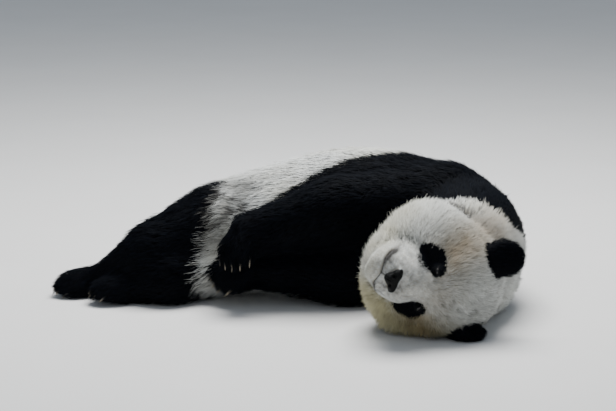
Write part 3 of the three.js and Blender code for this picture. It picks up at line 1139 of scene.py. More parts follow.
@dataclass(frozen=True)
class Eye:
    """One eyeball, half closed by its lids. The slit's and the lids' sizes are in millimetres."""

    side: Side
    radius: float = 12.5 * MM
    bulge: float = 1.0 * MM  # how far the cornea stands out
    slit: float = 7.5  # half the slit's length
    upper: float = 1.0  # how far the slit opens above its line
    lower: float = 1.8  # and below it
    slant: float = math.radians(28)  # the outer corner droops
    reach: float = 24  # the lids' skin lies this near to the line of sight
    back: float = -14  # and no further back than this from the middle of the ball
    hold: Pair = (9.5, 21)  # it follows the ball up to the first of these, and not at all past the other
    lid: float = 0.5  # how far the lids stand off the ball
    rim: float = 1.6  # how much thicker they are along the slit
    rim_width: float = 2.2
    behind: float = 1.8  # how far the skin lies behind the ball's face in the slit

    def centre(self) -> np.ndarray:
        """The middle of the eyeball."""
        return middle_of(f"eye_{self.side.word}")

    def axes(self) -> np.ndarray:
        """Works out which way the eye looks and how its slit lies.

        Returns:
            The slit's direction, the direction across it and the line of sight, in the head's frame.
        """
        sight = unit(np.array([0.35 * self.side.value, 1.0, -0.1]))
        right = unit(np.array([1.0, 0.0, 0.0]) - sight * sight[0])
        up = np.cross(right, sight)
        slope = -self.slant * self.side.value
        along = right * math.cos(slope) + up * math.sin(slope)
        return np.stack([along, np.cross(along, sight), sight])

    def seen(self, head: HeadFrame, places: np.ndarray) -> np.ndarray:
        """Points from the eyeball's middle: along the slit, across it and outward, in millimetres."""
        offset = (places - self.centre()) @ head.axes.T / MM
        return (offset @ self.axes().T).T

    def past_slit(self, along: np.ndarray, across: np.ndarray) -> np.ndarray:
        """Works out how far places lie from the edge of the slit.

        Args:
            along: how far they lie along the slit from its middle.
            across: how far they lie above it.

        Returns:
            Distances in millimetres, below zero in the slit.
        """
        half = np.sqrt(np.clip(1 - (along / self.slit) ** 2, 0, 1))
        edge = np.where(across > 0, across - self.upper * half, -across - self.lower * half)
        return np.where(np.abs(along) > self.slit, np.hypot(np.abs(along) - self.slit, across), edge)

    def build(self, head: HeadFrame) -> bpy.types.Object:
        """Makes a ball whose rings lie round its line of sight.

        Args:
            head: the head's frame.

        Returns:
            The eyeball.
        """
        word = self.side.word
        ball = bmesh.new()
        bmesh.ops.create_uvsphere(ball, u_segments=32, v_segments=20, radius=self.radius)
        centre = Vector(self.centre())
        sight = Vector(head.turned(self.axes()[2]))
        turn = sight.to_track_quat("Z", "Y")
        for vertex in ball.verts:
            vertex.co.z += self.bulge * max(0.0, vertex.co.z / self.radius) ** 6
        bmesh.ops.rotate(ball, verts=ball.verts, matrix=turn.to_matrix())
        bmesh.ops.translate(ball, verts=ball.verts, vec=centre)
        mesh = mesh_of(f"eyeball_{word}", ball)
        outward = unit(np.array([v.co for v in mesh.vertices]) - np.array(centre))
        set_attribute(mesh, "ring", np.arccos(np.clip(outward @ np.array(sight), -1, 1)))
        thing = smooth_piece(f"eyeball_{word}", mesh, EyeFinish())
        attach(thing, BODY)
        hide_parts(f"eye_{word}")
        return thing


@dataclass(frozen=True)
class Nose:
    """The bare pad at the end of the muzzle. Sizes without a unit are in millimetres."""

    voxel: float = 1.1 * MM
    swell: float = 2.4 * MM
    half_width: float = 29  # of the skin that it covers
    half_height: float = 16
    seat_half_width: float = 31  # of the hollow that it sits in
    seat_half_height: float = 17
    nostril_depth: float = 7.0
    slot_depth: float = 4.0  # the slots curl from the nostrils out to the sides
    furrow_depth: float = 2.2

    @staticmethod
    def taper(z: np.ndarray) -> np.ndarray:
        """How wide the pad is against its solid, at a height over its middle in millimetres."""
        return 0.62 + 0.46 * ease(-16, 9, z)

    def covers(self, local: np.ndarray) -> np.ndarray:
        """Finds the skin that the pad covers.

        Args:
            local: points of the skin, in the head's frame.

        Returns:
            True where no hair grows.
        """
        x, y, z = local[:, 0], local[:, 1], local[:, 2] - FACE.nose_level
        round_pad = np.hypot(x / (self.half_width * self.taper(z)), z / self.half_height) < 0.95
        return round_pad & (y > FACE.muzzle_front)

    def seat(self, local: np.ndarray) -> np.ndarray:
        """Finds the hollow that the pad sits in.

        Args:
            local: points of the skin, in the head's frame.

        Returns:
            1 at its floor, 0 outside and a smooth step between.
        """
        x, y, z = local[:, 0], local[:, 1], local[:, 2] - FACE.nose_level
        out = np.hypot(x / self.seat_half_width, z / self.seat_half_height)
        return (1 - ease(0.62, 1.0, out)) * (y > FACE.muzzle_front)

    def build(self, head: HeadFrame) -> bpy.types.Object:
        """Makes a pad with two nostrils that curl out to the sides, and a furrow between them.

        Args:
            head: the head's frame.

        Returns:
            The pad.
        """
        mesh = remeshed(merged_copy(("nose",)), self.voxel)
        shape = bmesh.new()
        shape.from_mesh(mesh)
        bmesh.ops.triangulate(shape, faces=shape.faces)
        shape.to_mesh(mesh)
        shape.free()
        surface = Surface(mesh)
        surface.places = surface.relaxed(surface.places, 14)
        local = head.local(surface.places) - head.local(middle_of("nose"))
        taper = self.taper(local[:, 2])
        surface.push(local[:, 0] * (taper - 1) * MM, head.axes[0])
        x, y, z = np.abs(local[:, 0] * taper), local[:, 1], local[:, 2]
        nostril = blob(np.hypot(x - 11, (z + 1) * 1.2), 4.6) * (y > 0)
        slot = blob(np.hypot((x - 20) * 0.55, (z + 7) * 1.6), 3.6) * (y > -8)
        furrow = blob(local[:, 0], 1.6) * ease(4, -6, z) * (y > 0)
        hollow = self.nostril_depth * nostril + self.slot_depth * slot + self.furrow_depth * furrow
        surface.push(self.swell)
        surface.push(-hollow * MM, head.axes[1])
        surface.write()
        thing = smooth_piece("nose_pad", mesh, NoseFinish())
        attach(thing, BODY)
        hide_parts("nose")
        return thing


@dataclass(frozen=True)
class Claws:
    """The five claws of one foot."""

    foot: str
    swell: float = 0.2 * MM
    narrowing: float = 0.62  # how much of its width a claw loses to its point
    flattening: float = 0.25  # how much thinner it is than it is deep

    def build(self) -> bpy.types.Object:
        """Makes smooth hooks on the solids' own curves.

        Returns:
            The five claws, as one piece.
        """
        nodes = claws_of(self.foot)
        shape = merged_copy(nodes)
        bmesh.ops.recalc_face_normals(shape, faces=shape.faces)
        bmesh.ops.subdivide_edges(shape, edges=shape.edges, cuts=2, use_grid_fill=True, smooth=0.6)
        bmesh.ops.triangulate(shape, faces=shape.faces)
        surface = Surface(mesh_of(f"claws_{self.foot}", shape))
        surface.places = surface.relaxed(surface.places, 2)
        surface.push(self.swell)
        toe = middle_of(self.foot)
        owner, _ = nearest_solid(nodes, surface.places)
        for index in range(len(nodes)):
            held = owner == index
            surface.places[held] = self._sharpened(surface.places[held], toe)
        far = np.linalg.norm(surface.places - toe, axis=1)
        surface.write()
        set_attribute(surface.mesh, "root", 1 - ease(*np.percentile(far, (45, 95)), far))
        thing = smooth_piece(f"claws_{self.foot}", surface.mesh, ClawFinish())
        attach(thing, BODY)
        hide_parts(*nodes)
        return thing

    def _sharpened(self, claw: np.ndarray, toe: np.ndarray) -> np.ndarray:
        """Narrows one claw to its point, and flattens its sides.

        Args:
            claw: its vertices.
            toe: the middle of the foot.

        Returns:
            Where the vertices go.
        """
        centre = claw.mean(0)
        length, _, side = np.linalg.svd(claw - centre, full_matrices=False)[2]
        length = length * np.sign((centre - toe) @ length)
        along = (claw - centre) @ length
        share = (along - along.min()) / np.ptp(along)
        spine = centre + along[:, None] * length
        narrow = 1 - self.narrowing * ease(0.3, 1.0, share)
        thin = (claw - spine) * narrow[:, None]
        thin -= side * ((thin @ side) * self.flattening)[:, None]
        return spine + thin


# ---------------------------------------------------------------- skin


@dataclass
class Skin:
    """One surface for all the flesh, under the tips of the coat."""

    head: HeadFrame
    voxel: float = 6 * MM
    blend_rounds: int = 8  # how widely the regions' coats run into each other
    smooth_rounds: int = 28
    kept_fine: float = 0.88  # how much less paws, ears and face are smoothed
    # the parts of the head whose faces are halved, in millimetres of its frame
    fine_front: float = -40
    fine_middle: float = -60
    fine_size: float = 118
    finer_eye: float = 27
    finer_mouth: Triple = (78, -25, 17)  # half its width, its least y and half its height
    # the head's hair by its distance from the muzzle's tip, the eye, the dark patch's edge and the ear
    from_tip: Ramp = Ramp(4.5, 26, 55, 165)
    from_eye: tuple[Ramp, Ramp] = (Ramp(3.5, 10, 10, 34), Ramp(0, 25, 30, 75))
    from_patch: Ramp = Ramp(8, 24, -6, 26)
    from_ear: Ramp = Ramp(9, 24, 4, 34)
    brow_trim: float = 0.5  # how much shorter the hair of the brow is
    shag: Pair = (80, 150)  # the cheeks' hair grows shaggy between these distances from the muzzle's tip
    shag_lift: float = 1.1  # and stands up by so much more
    tip_share: float = 0.6  # markings are set by where the hair has got to at this share of its length
    head_tip_share: float = 0.8  # or at this one on the head, and
    head_low_share: float = 0.15  # at this one for the lower half of the head's hair
    sink: float = 0.95  # how far the skin lies under the tips, against their height
    ear_sink: float = 0.45  # how much less it does on the ears
    settle_rounds: int = 3
    floor_pad: float = 6 * MM  # fur pressed flat under the body
    floor_zone: float = 30 * MM
    nose_seat: float = 9 * MM
    ear_cup: float = 9 * MM
    ear_cup_size: float = 24 * MM
    # the fold between cheek and neck, in millimetres
    fold_width: float = 12
    fold_sink: float = 12
    fold_shadow: float = 20  # its dark line is this wide, and the hair in it is short
    fold_clearing: float = 26  # the hair before it is short too, over this width
    fold_ahead: float = 22  # and this far from it, towards -Y

    surface: Surface = field(init=False)

    # what build works out for each vertex
    node: np.ndarray = field(init=False)  # the nearest solid's place in FLESH
    region: np.ndarray = field(init=False)  # its region's place in REGIONS
    mixture: np.ndarray = field(init=False)  # how much it belongs to each region
    to_ear: np.ndarray = field(init=False)  # how far it lies from the nearer ear, in metres
    to_head: np.ndarray = field(init=False)
    shortness: np.ndarray = field(init=False)  # the hair's length against its region's
    length: np.ndarray = field(init=False)  # and in metres
    lift: np.ndarray = field(init=False)  # the angle at which it stands, in radians
    lie: np.ndarray = field(init=False)  # the direction in which it lies
    bare: np.ndarray = field(init=False)  # 1 on lips and the lids' edges
    lids: np.ndarray = field(init=False)  # 1 on the lids and in the slit
    black: np.ndarray = field(init=False)  # how far inside the black the hair's tips lie
    black_low: np.ndarray = field(init=False)  # and the lower half of the hair
    brown: np.ndarray = field(init=False)
    cream: np.ndarray = field(init=False)
    # the dark tint: real soot and dirt, and painted shade in the fold, under the head, on the face and on
    # the flank
    grime_and_shade: np.ndarray = field(init=False)
    groove: np.ndarray = field(init=False)  # 1 where the hair is short in and before the fold

    def build(self) -> bpy.types.Object:
        """Makes the skin and what the coat needs to know of it.

        Returns:
            The skin.
        """
        mesh = remeshed(merged_copy(FLESH + on_both("eye") + ("nose",)), self.voxel)
        self._refine(mesh)
        self.surface = Surface(mesh)
        self._name_regions()
        self._even_out()
        self._lower_under_coat()
        self._shape_face()
        for side in Side:
            self._lid(Eye(side))
        for side in Side:
            self._hollow_ear(side)
        self._comb()
        self.surface.places[:, 2] = np.maximum(self.surface.places[:, 2], 0)
        self.surface.write()
        self._mark()
        thing = smooth_piece("skin", mesh, HideFinish())
        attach(thing, BODY)
        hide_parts(*FLESH)
        return thing

    def within(self, *regions: Region) -> np.ndarray:
        """1 where a vertex is in one of the regions, and 0 elsewhere."""
        return np.isin(self.region, [REGIONS.index(one) for one in regions]).astype(float)

    def _refine(self, mesh: bpy.types.Mesh) -> None:
        """Halves the faces of the face, and again at eyes and mouth, and makes every face a triangle.

        Args:
            mesh: the merged solids.
        """
        shape = bmesh.new()
        shape.from_mesh(mesh)
        for level in (1, 2):
            local = self.head.local(np.array([f.calc_center_median() for f in shape.faces]))
            x, y, z = np.abs(local[:, 0]), local[:, 1], local[:, 2]
            chosen = (y > self.fine_front) & (np.hypot(x, z - self.fine_middle) < self.fine_size)
            if level == 2:
                side, front, height = self.finer_mouth
                mouth = (np.abs(z - FACE.lip_level(x)) < height) & (x < side) & (y > front)
                chosen = (FACE.from_eye(local) < self.finer_eye) | mouth
            shape.faces.ensure_lookup_table()
            edges = {edge for i in np.flatnonzero(chosen) for edge in shape.faces[i].edges}
            bmesh.ops.subdivide_edges(shape, edges=list(edges), cuts=1, use_grid_fill=True)
        bmesh.ops.triangulate(shape, faces=shape.faces)
        bmesh.ops.recalc_face_normals(shape, faces=shape.faces)
        shape.to_mesh(mesh)
        shape.free()

    def _name_regions(self) -> None:
        """Finds which part of the body each vertex belongs to."""
        owner = [REGIONS.index(region) for region in REGIONS for _ in REGION_NODES[region]]
        self.node, _ = nearest_solid(FLESH, self.surface.places)
        self.region = np.array(owner)[self.node]
        _, self.to_ear = nearest_solid(on_both("ear"), self.surface.places)
        _, self.to_head = nearest_solid(("head",), self.surface.places)
        self.mixture = self.surface.relaxed(np.eye(len(REGIONS))[self.region], self.blend_rounds)

    def _even_out(self) -> None:
        """Takes the facets out of the merged solids, least on paws, ears and face."""
        fine = self.surface.relaxed(self.within(Region.PAW, Region.FOOT, Region.EAR, Region.HEAD), 6)
        share = 0.5 * (1 - self.kept_fine * fine)
        self.surface.places = self.surface.relaxed(self.surface.places, self.smooth_rounds, share[:, None])

    def _head_length(self, local: np.ndarray) -> np.ndarray:
        """Works out how long the head's hair is.

        It is shortest on the muzzle and the lids, short on the brow and round the ears, and longest on the
        cheeks and the jaw.

        Args:
            local: the skin, in the head's frame.

        Returns:
            Lengths against the head's longest hair.
        """
        x, y, z = np.abs(local[:, 0]), local[:, 1], local[:, 2]
        brow = blob(x, 85) * ease(-45, 20, z) * ease(-120, -40, y)
        length = self.from_tip.at(FACE.from_tip(local)) * (1 - self.brow_trim * brow)
        by_eye = sum(ramp.at(FACE.from_eye(local)) for ramp in self.from_eye)
        by_patch = self.from_patch.at(-MARKINGS.eye_patch(local))
        by_ear = self.from_ear.at(self.to_ear / MM)
        return np.min([length, by_eye, by_patch, by_ear], axis=0) / PELTS[Region.HEAD].length

    def _lower_under_coat(self) -> None:
        """Moves the surface in from the tips of the coat to the skin."""
        surface = self.surface
        local = self.head.local(surface.places)
        self.shortness = np.where(self.within(Region.HEAD) > 0, self._head_length(local), 1.0)
        self.shortness = surface.relaxed(self.shortness, 4)
        self.length = self.mixture @ region_values("length") * self.shortness
        shag = ease(*self.shag, FACE.from_tip(local)) * self.within(Region.HEAD)
        shag = surface.relaxed(shag * ease(20, 60, self.to_ear / MM), 6)
        self.lift = self.mixture @ region_values("lift") * (1 + self.shag_lift * shag)
        depth = self.length * rise_share(self.lift) * self.sink
        depth = depth * (1 - self.ear_sink * self.mixture[:, REGIONS.index(Region.EAR)])
        pressed = ease(0.3, 0.9, -surface.normals()[:, 2]) * (surface.places[:, 2] < self.floor_zone)
        depth = depth * (1 - pressed) + np.minimum(depth, self.floor_pad) * pressed
        depth = surface.relaxed(depth, 6)
        for _ in range(self.settle_rounds):
            surface.push(-depth / self.settle_rounds)
            surface.places = surface.relaxed(surface.places, 1, 0.3)

    def _shape_face(self) -> None:
        """Raises the face's forms, seats the nose, presses the fold in and bares the lips."""
        surface = self.surface
        local = self.head.local(surface.places)
        x, y, z = np.abs(local[:, 0]), local[:, 1], local[:, 2]
        in_head = self.within(Region.HEAD)
        surface.push(FACE.relief(local) * in_head * (y > FACE.front) * MM)
        surface.push(-self.nose_seat * Nose().seat(local), self.head.axes[1])
        normals = surface.normals()
        fold = FACE.fold(surface.places, normals, self.fold_width)
        surface.push(-fold * self.fold_sink * MM, normals)
        lips = blob(z - FACE.lip_level(x), 1.2) * FACE.lip_share(x)
        self.bare = np.clip(1.1 * lips, 0, 1) * (y > -60) * in_head
        self.lids = np.zeros(len(x))

    def _lid(self, eye: Eye) -> None:
        """Draws the skin over one eye, but for the slit between the lids.

        Args:
            eye: the eye that is covered.
        """
        along, across, out = eye.seen(self.head, self.surface.places)
        off = np.hypot(along, across)
        near = (off < eye.reach) & (out > eye.back)
        edge = eye.past_slit(along, across)
        radius = eye.radius / MM
        over = radius + eye.lid + eye.rim * blob(edge - eye.rim_width, 2.0)
        shell = np.where(edge < 0, radius - eye.behind, over)
        height = np.sqrt(np.maximum(shell**2 - np.minimum(off, 0.86 * shell) ** 2, 0))
        hold = near * (1 - ease(*eye.hold, off))
        self.surface.push((height - out) * hold * MM, self.head.turned(eye.axes()[2]))
        self.lids = np.maximum(self.lids, near * (edge < eye.rim_width))
        self.bare = np.maximum(self.bare, near * (1 - ease(0.8, eye.rim_width, edge)))

    def _hollow_ear(self, side: Side) -> None:
        """Hollows the cup of one ear.

        Args:
            side: which ear.
        """
        node = f"ear_{side.word}"
        centre = middle_of(node)
        solid = np.array([v.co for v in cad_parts[node].data.vertices]) - centre
        forward = np.linalg.svd(solid, full_matrices=False)[2][2]
        forward = forward * np.sign(forward @ (self.head.axes[1] + np.array([0.0, 0.0, 1.0])))
        apart = self.surface.places - centre
        facing = ease(0.2, 0.8, self.surface.normals() @ forward)
        flat = np.linalg.norm(apart - (apart @ forward)[:, None] * forward, axis=1)
        cup = blob(flat, self.ear_cup_size) * facing * self.within(Region.EAR)
        self.surface.push(-cup * self.ear_cup, forward)

    def _comb(self) -> None:
        """Lays the hair along the surface, to tail, toes and ear tips, and back from the nose."""
        places = self.surface.places
        head_middle, nose = middle_of("head"), middle_of("nose")
        steps = {
            "trunk": np.array([-1.0, -0.12, 0.0]),
            "chest": np.array([-1.0, -0.1, 0.0]),
            "tail": middle_of("tail") - middle_of("trunk"),
            "neck": middle_of("chest") - head_middle,
        }
        steps.update({node: middle_of(node) - head_middle for node in on_both("ear")})
        for chain in [[f"{name}_{side.word}" for name in names] for names in LIMBS for side in Side]:
            centres = [middle_of(node) for node in chain]
            centres.append(np.mean([middle_of(claw) for claw in claws_of(chain[-1])], axis=0))
            steps.update({node: centres[i + 1] - centres[i] for i, node in enumerate(chain)})
        lie = np.zeros_like(places)
        for index, node in enumerate(FLESH):
            held = self.node == index
            lie[held] = unit(steps[node] if node in steps else places[held] - nose)
        lie = self.surface.relaxed(lie, 24)
        normals = self.surface.normals()
        self.lie = unit(lie - (lie * normals).sum(1, keepdims=True) * normals)

    def _along(self, share: float | np.ndarray) -> np.ndarray:
        """Where the hair of each vertex comes to lie, at a share of its length."""
        return self.surface.places + self.lie * (self.length * share)[:, None]

    def _blackness(self, head_share: float) -> np.ndarray:
        """Works out how far inside the black the hair lies.

        Args:
            head_share: how far along the head's hair that is seen. The rest has one share of its own.

        Returns:
            Distances in metres, below zero in the white.
        """
        places = self._along(np.where(self.within(Region.HEAD) > 0, head_share, self.tip_share))
        to_ear = np.maximum(self.to_ear - 4 * MM, 0)
        return MARKINGS.depth(places, self.head.local(places), self.region, to_ear)

    def _mark(self) -> None:
        """Writes the coat's markings into the skin, each set by where the hair comes to lie.

        Hair that is rooted further up covers what is under it, so the soot, the face's painted shade and
        the fold's painted shadow are looked for at several shares of the hair's length.
        """
        in_head, by_fold = self.within(Region.HEAD), self.within(Region.HEAD, Region.NECK)
        self.black = self._blackness(self.head_tip_share)
        self.black_low = self._blackness(self.head_low_share)
        places = self._along(self.tip_share)
        local = self.head.local(places)
        self.brown, self.cream = STAINS_AND_SHADE.warmth(places, local, by_fold)
        normals = self.surface.normals()
        ahead = np.array([0, self.fold_ahead * MM, 0])
        self.groove, folded, soot_and_shade = np.zeros((3, len(places)))
        for share in (0.0, 0.3, 0.6, 0.9):
            over = self._along(share)
            fold = FACE.fold(over, normals, self.fold_shadow) * by_fold
            before = FACE.fold(over + ahead, normals, self.fold_clearing) * by_fold
            self.groove = np.maximum(self.groove, np.maximum(fold, before))
            folded = np.maximum(folded, fold)
            if share < 0.9:
                soot_and_shade = np.maximum(soot_and_shade, FACE.soot_and_shade(self.head.local(over)) * in_head)
        # painted shade on the neck's hair where it runs under the head
        painted_shade_under_head = 0.45 * blob(self.to_head, 42 * MM) * self.within(Region.NECK)
        dirt = STAINS_AND_SHADE.dirt(places, local, in_head)
        # this tint holds real soot and dirt, the fold's painted shadow, and painted shade under the head,
        # on the face and on the flank
        self.grime_and_shade = np.max([soot_and_shade, 0.97 * ease(0.1, 0.6, folded), dirt, painted_shade_under_head], axis=0)
        mesh = self.surface.mesh
        set_attribute(mesh, "black", ease(-2 * MM, 2 * MM, self.black_low))
        for name in ("brown", "cream", "bare", "grime_and_shade"):
            set_attribute(mesh, name, getattr(self, name))


# ---------------------------------------------------------------- coat

COAT_PIECES = {
    "trunk": (Region.TRUNK, Region.TAIL),
    "chest": (Region.CHEST,),
    "neck": (Region.NECK,),
    "head": (Region.HEAD,),
    "ears": (Region.EAR,),
    "forelegs": (Region.ARM, Region.PAW),
    "hind_legs": (Region.LEG, Region.FOOT),
}

# a tuft has a triangle at its root, one at its bend and a tip
TUFT_RISE = np.array([0.0, 0.0, 0.0, 0.5, 0.5, 0.5, 1.0])
TUFT_FACES = np.array(
    [[0, 1, 2]]
    + [face for j in range(3) for face in ([j, 3 + j, 3 + (j + 1) % 3], [j, 3 + (j + 1) % 3, (j + 1) % 3])]
    + [[3 + j, 6, 3 + (j + 1) % 3] for j in range(3)]
)
TUFT_TOP = 7  # the faces from here on are above the tuft's bend
PATCH = 0.003  # the size of a tuft's patch on the map
EDGE = 0.004  # how far the patches stay from the map's edge


def tuft_map() -> np.ndarray:
    """Lays a tuft's faces out on its patch: its base below, its sides above and its tip on top.

    Returns:
        Each corner's place on the patch, from 0 to 1.
    """
    foot, knee = 0.15, 0.6
    corners = [(0.0, 0.0), (1.0, 0.0), (0.5, foot)]
    for j in range(3):
        left, right = j / 3, (j + 1) / 3
        corners += [(left, foot), (left, knee), (right, knee), (left, foot), (right, knee), (right, foot)]
    for j in range(3):
        corners += [(j / 3, knee), ((j + 0.5) / 3, 1.0), ((j + 1) / 3, knee)]
    return np.array(corners)


@dataclass
class Coat:
    """Tufts of fur over the skin, one piece for each part of the body and share of it."""

    skin: Skin
    most_tufts: int = 19500
    pull: float = 0.42  # how far tips are drawn to the middle of their lock
    lock: int = 14  # tufts in a lock
    stray: float = 0.05  # share of tufts that stand out of the coat
    soft: float = 0.68  # how far a tuft takes its light from the coat's form instead of its own
    # how far the hair turns, in radians
    swirls: tuple[Noise, Noise] = (Noise(0.32, 55, 31), Noise(0.22, 16, 32))
    turn_spread: float = 0.12
    length_spread: float = 0.18
    lift_spread: float = 0.15
    lift_swell: Noise = Noise(0.25, 24, 33)
    sunk: float = 0.6 * MM  # how deep the roots sit in the skin
    ring_clear: float = 0.3 * MM  # the least height over the floor of a tuft's rings
    line_clear: Pair = (0.4 * MM, 0.6 * MM)  # and of its bend and tip, more where its root is higher
    border: float = 15 * MM  # how far white and black hair mix at the hips
    fuzz: Pair = (1.5 * MM, 6.5 * MM)  # how ragged a border is, and how much more so at the hips
    seed: int = 5

    random: np.random.Generator = field(init=False)
    fields: dict[str, np.ndarray] = field(init=False)
    layout: np.ndarray = field(init=False)
    materials: list[bpy.types.Material] = field(init=False)

    def build(self) -> list[bpy.types.Object]:
        """Grows every piece.

        Returns:
            The pieces.
        """
        self.random = np.random.default_rng(self.seed)
        self.fields = self._fields()
        self.layout = tuft_map()
        self.materials = [WhiteFur().material(), BlackFur().material()]
        pieces = []
        for name, regions in COAT_PIECES.items():
            pieces += self._grow(name, regions)
        return pieces

    def _fields(self) -> dict[str, np.ndarray]:
        """Works out what each vertex of the skin says of the tufts on it.

        Returns:
            Values for each vertex, by name.
        """
        skin = self.skin
        short = skin.shortness
        normals = skin.surface.normals()
        places = skin.surface.places
        under = ease(0.4, 0.95, -normals[:, 2]) * (places[:, 2] < 40 * MM)
        bare = np.clip(skin.bare * 1.3 + skin.lids, 0, 1)
        on_pad = Nose().covers(skin.head.local(places))
        claws = tuple(claw for foot in FEET for claw in claws_of(foot))
        _, to_claw = nearest_solid(claws, places)
        hips = ease(-120, -170, places[:, 0] / MM) * skin.within(Region.TRUNK, Region.LEG)
        return {
            "length": skin.length * (1 + 0.5 * blob(to_claw, 24 * MM)) * (1 - 0.6 * skin.groove),
            "lift": skin.lift,
            "width": skin.mixture @ region_values("width") * (0.5 + 0.5 * short),
            "spacing": skin.mixture @ region_values("spacing") * (0.6 + 0.4 * short) * (1 + 0.9 * under),
            "grows": (1 - bare) * (1 - on_pad),
            "black": skin.black,
            "black_low": skin.black_low,
            "hip": hips,  # where white hair straggles over the black
            "plush": skin.mixture[:, REGIONS.index(Region.HEAD)],  # where the hair stands less orderly
            "less_root_shade": 0.55 * (1 - short),  # short hair gets less painted shade at its root, as pale there as long hair is higher up
            "brown": skin.brown,
            "cream": skin.cream,
            "grime_and_shade": skin.grime_and_shade,
            "out": normals,
            "lie": skin.lie,
        }

    def _faces_of(self, regions: tuple[Region, ...]) -> np.ndarray:
        """True for each face of the skin that lies in the regions."""
        first = self.skin.surface.faces[:, 0]
        return self.skin.within(*regions)[first] > 0

    def _unwrap(self, regions: tuple[Region, ...]) -> np.ndarray:
        """Unwraps the skin of some regions on its own shape.

        Args:
            regions: whose skin it is.

        Returns:
            The place on the map of each corner of each face of the skin.
        """
        thing = bpy.data.objects["skin"]
        mesh = self.skin.surface.mesh
        layer = mesh.uv_layers.get("roots") or mesh.uv_layers.new(name="roots")
        mesh.polygons.foreach_set("select", self._faces_of(regions))
        mesh.uv_layers.active = layer
        bpy.context.view_layer.objects.active = thing
        thing.select_set(True)
        bpy.ops.object.mode_set(mode="EDIT")
        bpy.ops.uv.smart_project(angle_limit=math.radians(66), island_margin=0.004)
        bpy.ops.object.mode_set(mode="OBJECT")
        return numbers_of(mesh.uv_layers["roots"].data, "uv", 2, np.float32).reshape(-1, 3, 2)

    def _grow(self, name: str, regions: tuple[Region, ...]) -> list[bpy.types.Object]:
        """Grows the pieces of some regions.

        Args:
            name: what they are called.
            regions: where they grow.

        Returns:
            The pieces, each with its share of the tufts.
        """
        surface = self.skin.surface
        held = np.flatnonzero(self._faces_of(regions))
        faces = surface.faces[held]
        spacing = self.fields["spacing"][faces].mean(1)
        expected = surface.areas()[held] / spacing**2 * (self.fields["grows"][faces].min(1) > 0.5)
        steps = np.floor(np.cumsum(expected) + self.random.random()).astype(int)
        root_face = np.repeat(np.arange(len(held)), np.diff(steps, prepend=0))
        corner = self.random.random((len(root_face), 2))
        corner = np.where(corner.sum(1, keepdims=True) > 1, 1 - corner, corner)
        weights = np.stack([1 - corner.sum(1), corner[:, 0], corner[:, 1]], axis=1)
        fields = self.fields | {"place": surface.places}
        tufts = {key: self._sampled(values[faces[root_face]], weights) for key, values in fields.items()}
        tufts["map"] = self._sampled(self._unwrap(regions)[held][root_face], weights)
        tufts |= self._tuft_lines(tufts)
        parts = math.ceil(len(root_face) / self.most_tufts)
        order = self.random.permutation(len(root_face))
        made = []
        for part in range(parts):
            chosen = np.sort(order[part::parts])
            share = {key: kept[chosen] for key, kept in tufts.items()}
            made.append(self._piece(f"coat_{name}_{part + 1}", share))
        return made

    @staticmethod
    def _sampled(corners: np.ndarray, weights: np.ndarray) -> np.ndarray:
        """Values at places inside faces, from those of the faces' corners and the weight of each."""
        return (corners * (weights[..., None] if corners.ndim == 3 else weights)).sum(1)

    def _tuft_lines(self, roots: dict[str, np.ndarray]) -> dict[str, np.ndarray]:
        """Lays each tuft along the coat, with its own turn, length and lift.

        Args:
            roots: the skin's fields at the root of each tuft.

        Returns:
            The tufts' middles and tips, and the outward direction at each.
        """
        random, place, plush, count = self.random, roots["place"], roots["plush"], len(roots["place"])
        normal = unit(roots["out"])
        lie = unit(roots["lie"] - (roots["lie"] * normal).sum(1, keepdims=True) * normal)
        side = np.cross(lie, normal)
        turn = sum(swirl.at(place) for swirl in self.swirls)
        turn = turn + random.normal(0, self.turn_spread, count) * (1 + 1.6 * plush)
        lie = lie * np.cos(turn)[:, None] + side * np.sin(turn)[:, None]
        stray = random.random(count) < self.stray * (1 + 1.5 * plush)
        length = roots["length"] * (1 + self.length_spread * random.normal(0, 1, count).clip(-2, 2))
        length = length * (1 + 0.08 * stray)
        lift = roots["lift"] * (1 + self.lift_swell.at(place)) * (1 + (0.4 + 0.5 * plush) * stray)
        lift = lift * (1 + self.lift_spread * random.normal(0, 1, count).clip(-2, 2))
        steep, shallow = (STEEP * lift)[:, None], (SHALLOW * lift)[:, None]
        middle = place + (lie * np.cos(steep) + normal * np.sin(steep)) * (length * BEND)[:, None]
        reach = (lie * np.cos(shallow) + normal * np.sin(shallow)) * (length * (1 - BEND))[:, None]
        tip = self._in_locks(place, middle + reach, self.pull * (1 - 0.45 * plush))
        for point in (middle, tip):
            point[:, 2] = np.maximum(point[:, 2], np.clip(place[:, 2], *self.line_clear))
        return {"middle": middle, "tip": tip, "out": normal}

    def _in_locks(self, place: np.ndarray, tip: np.ndarray, pull: np.ndarray) -> np.ndarray:
        """Draws the tips of neighbouring tufts together into locks.

        Args:
            place: the tufts' roots.
            tip: their tips.
            pull: how far each tip goes to that of its lock's leader.

        Returns:
            The new tips.
        """
        count = max(1, len(place) // self.lock)
        leaders = self.random.choice(len(place), count, replace=False)
        tree = KDTree(count)
        for index, leader in enumerate(leaders):
            tree.insert(Vector(place[leader]), index)
        tree.balance()
        nearest = leaders[[tree.find(Vector(p))[1] for p in place]]
        return tip + (tip[nearest] - tip) * pull[:, None]

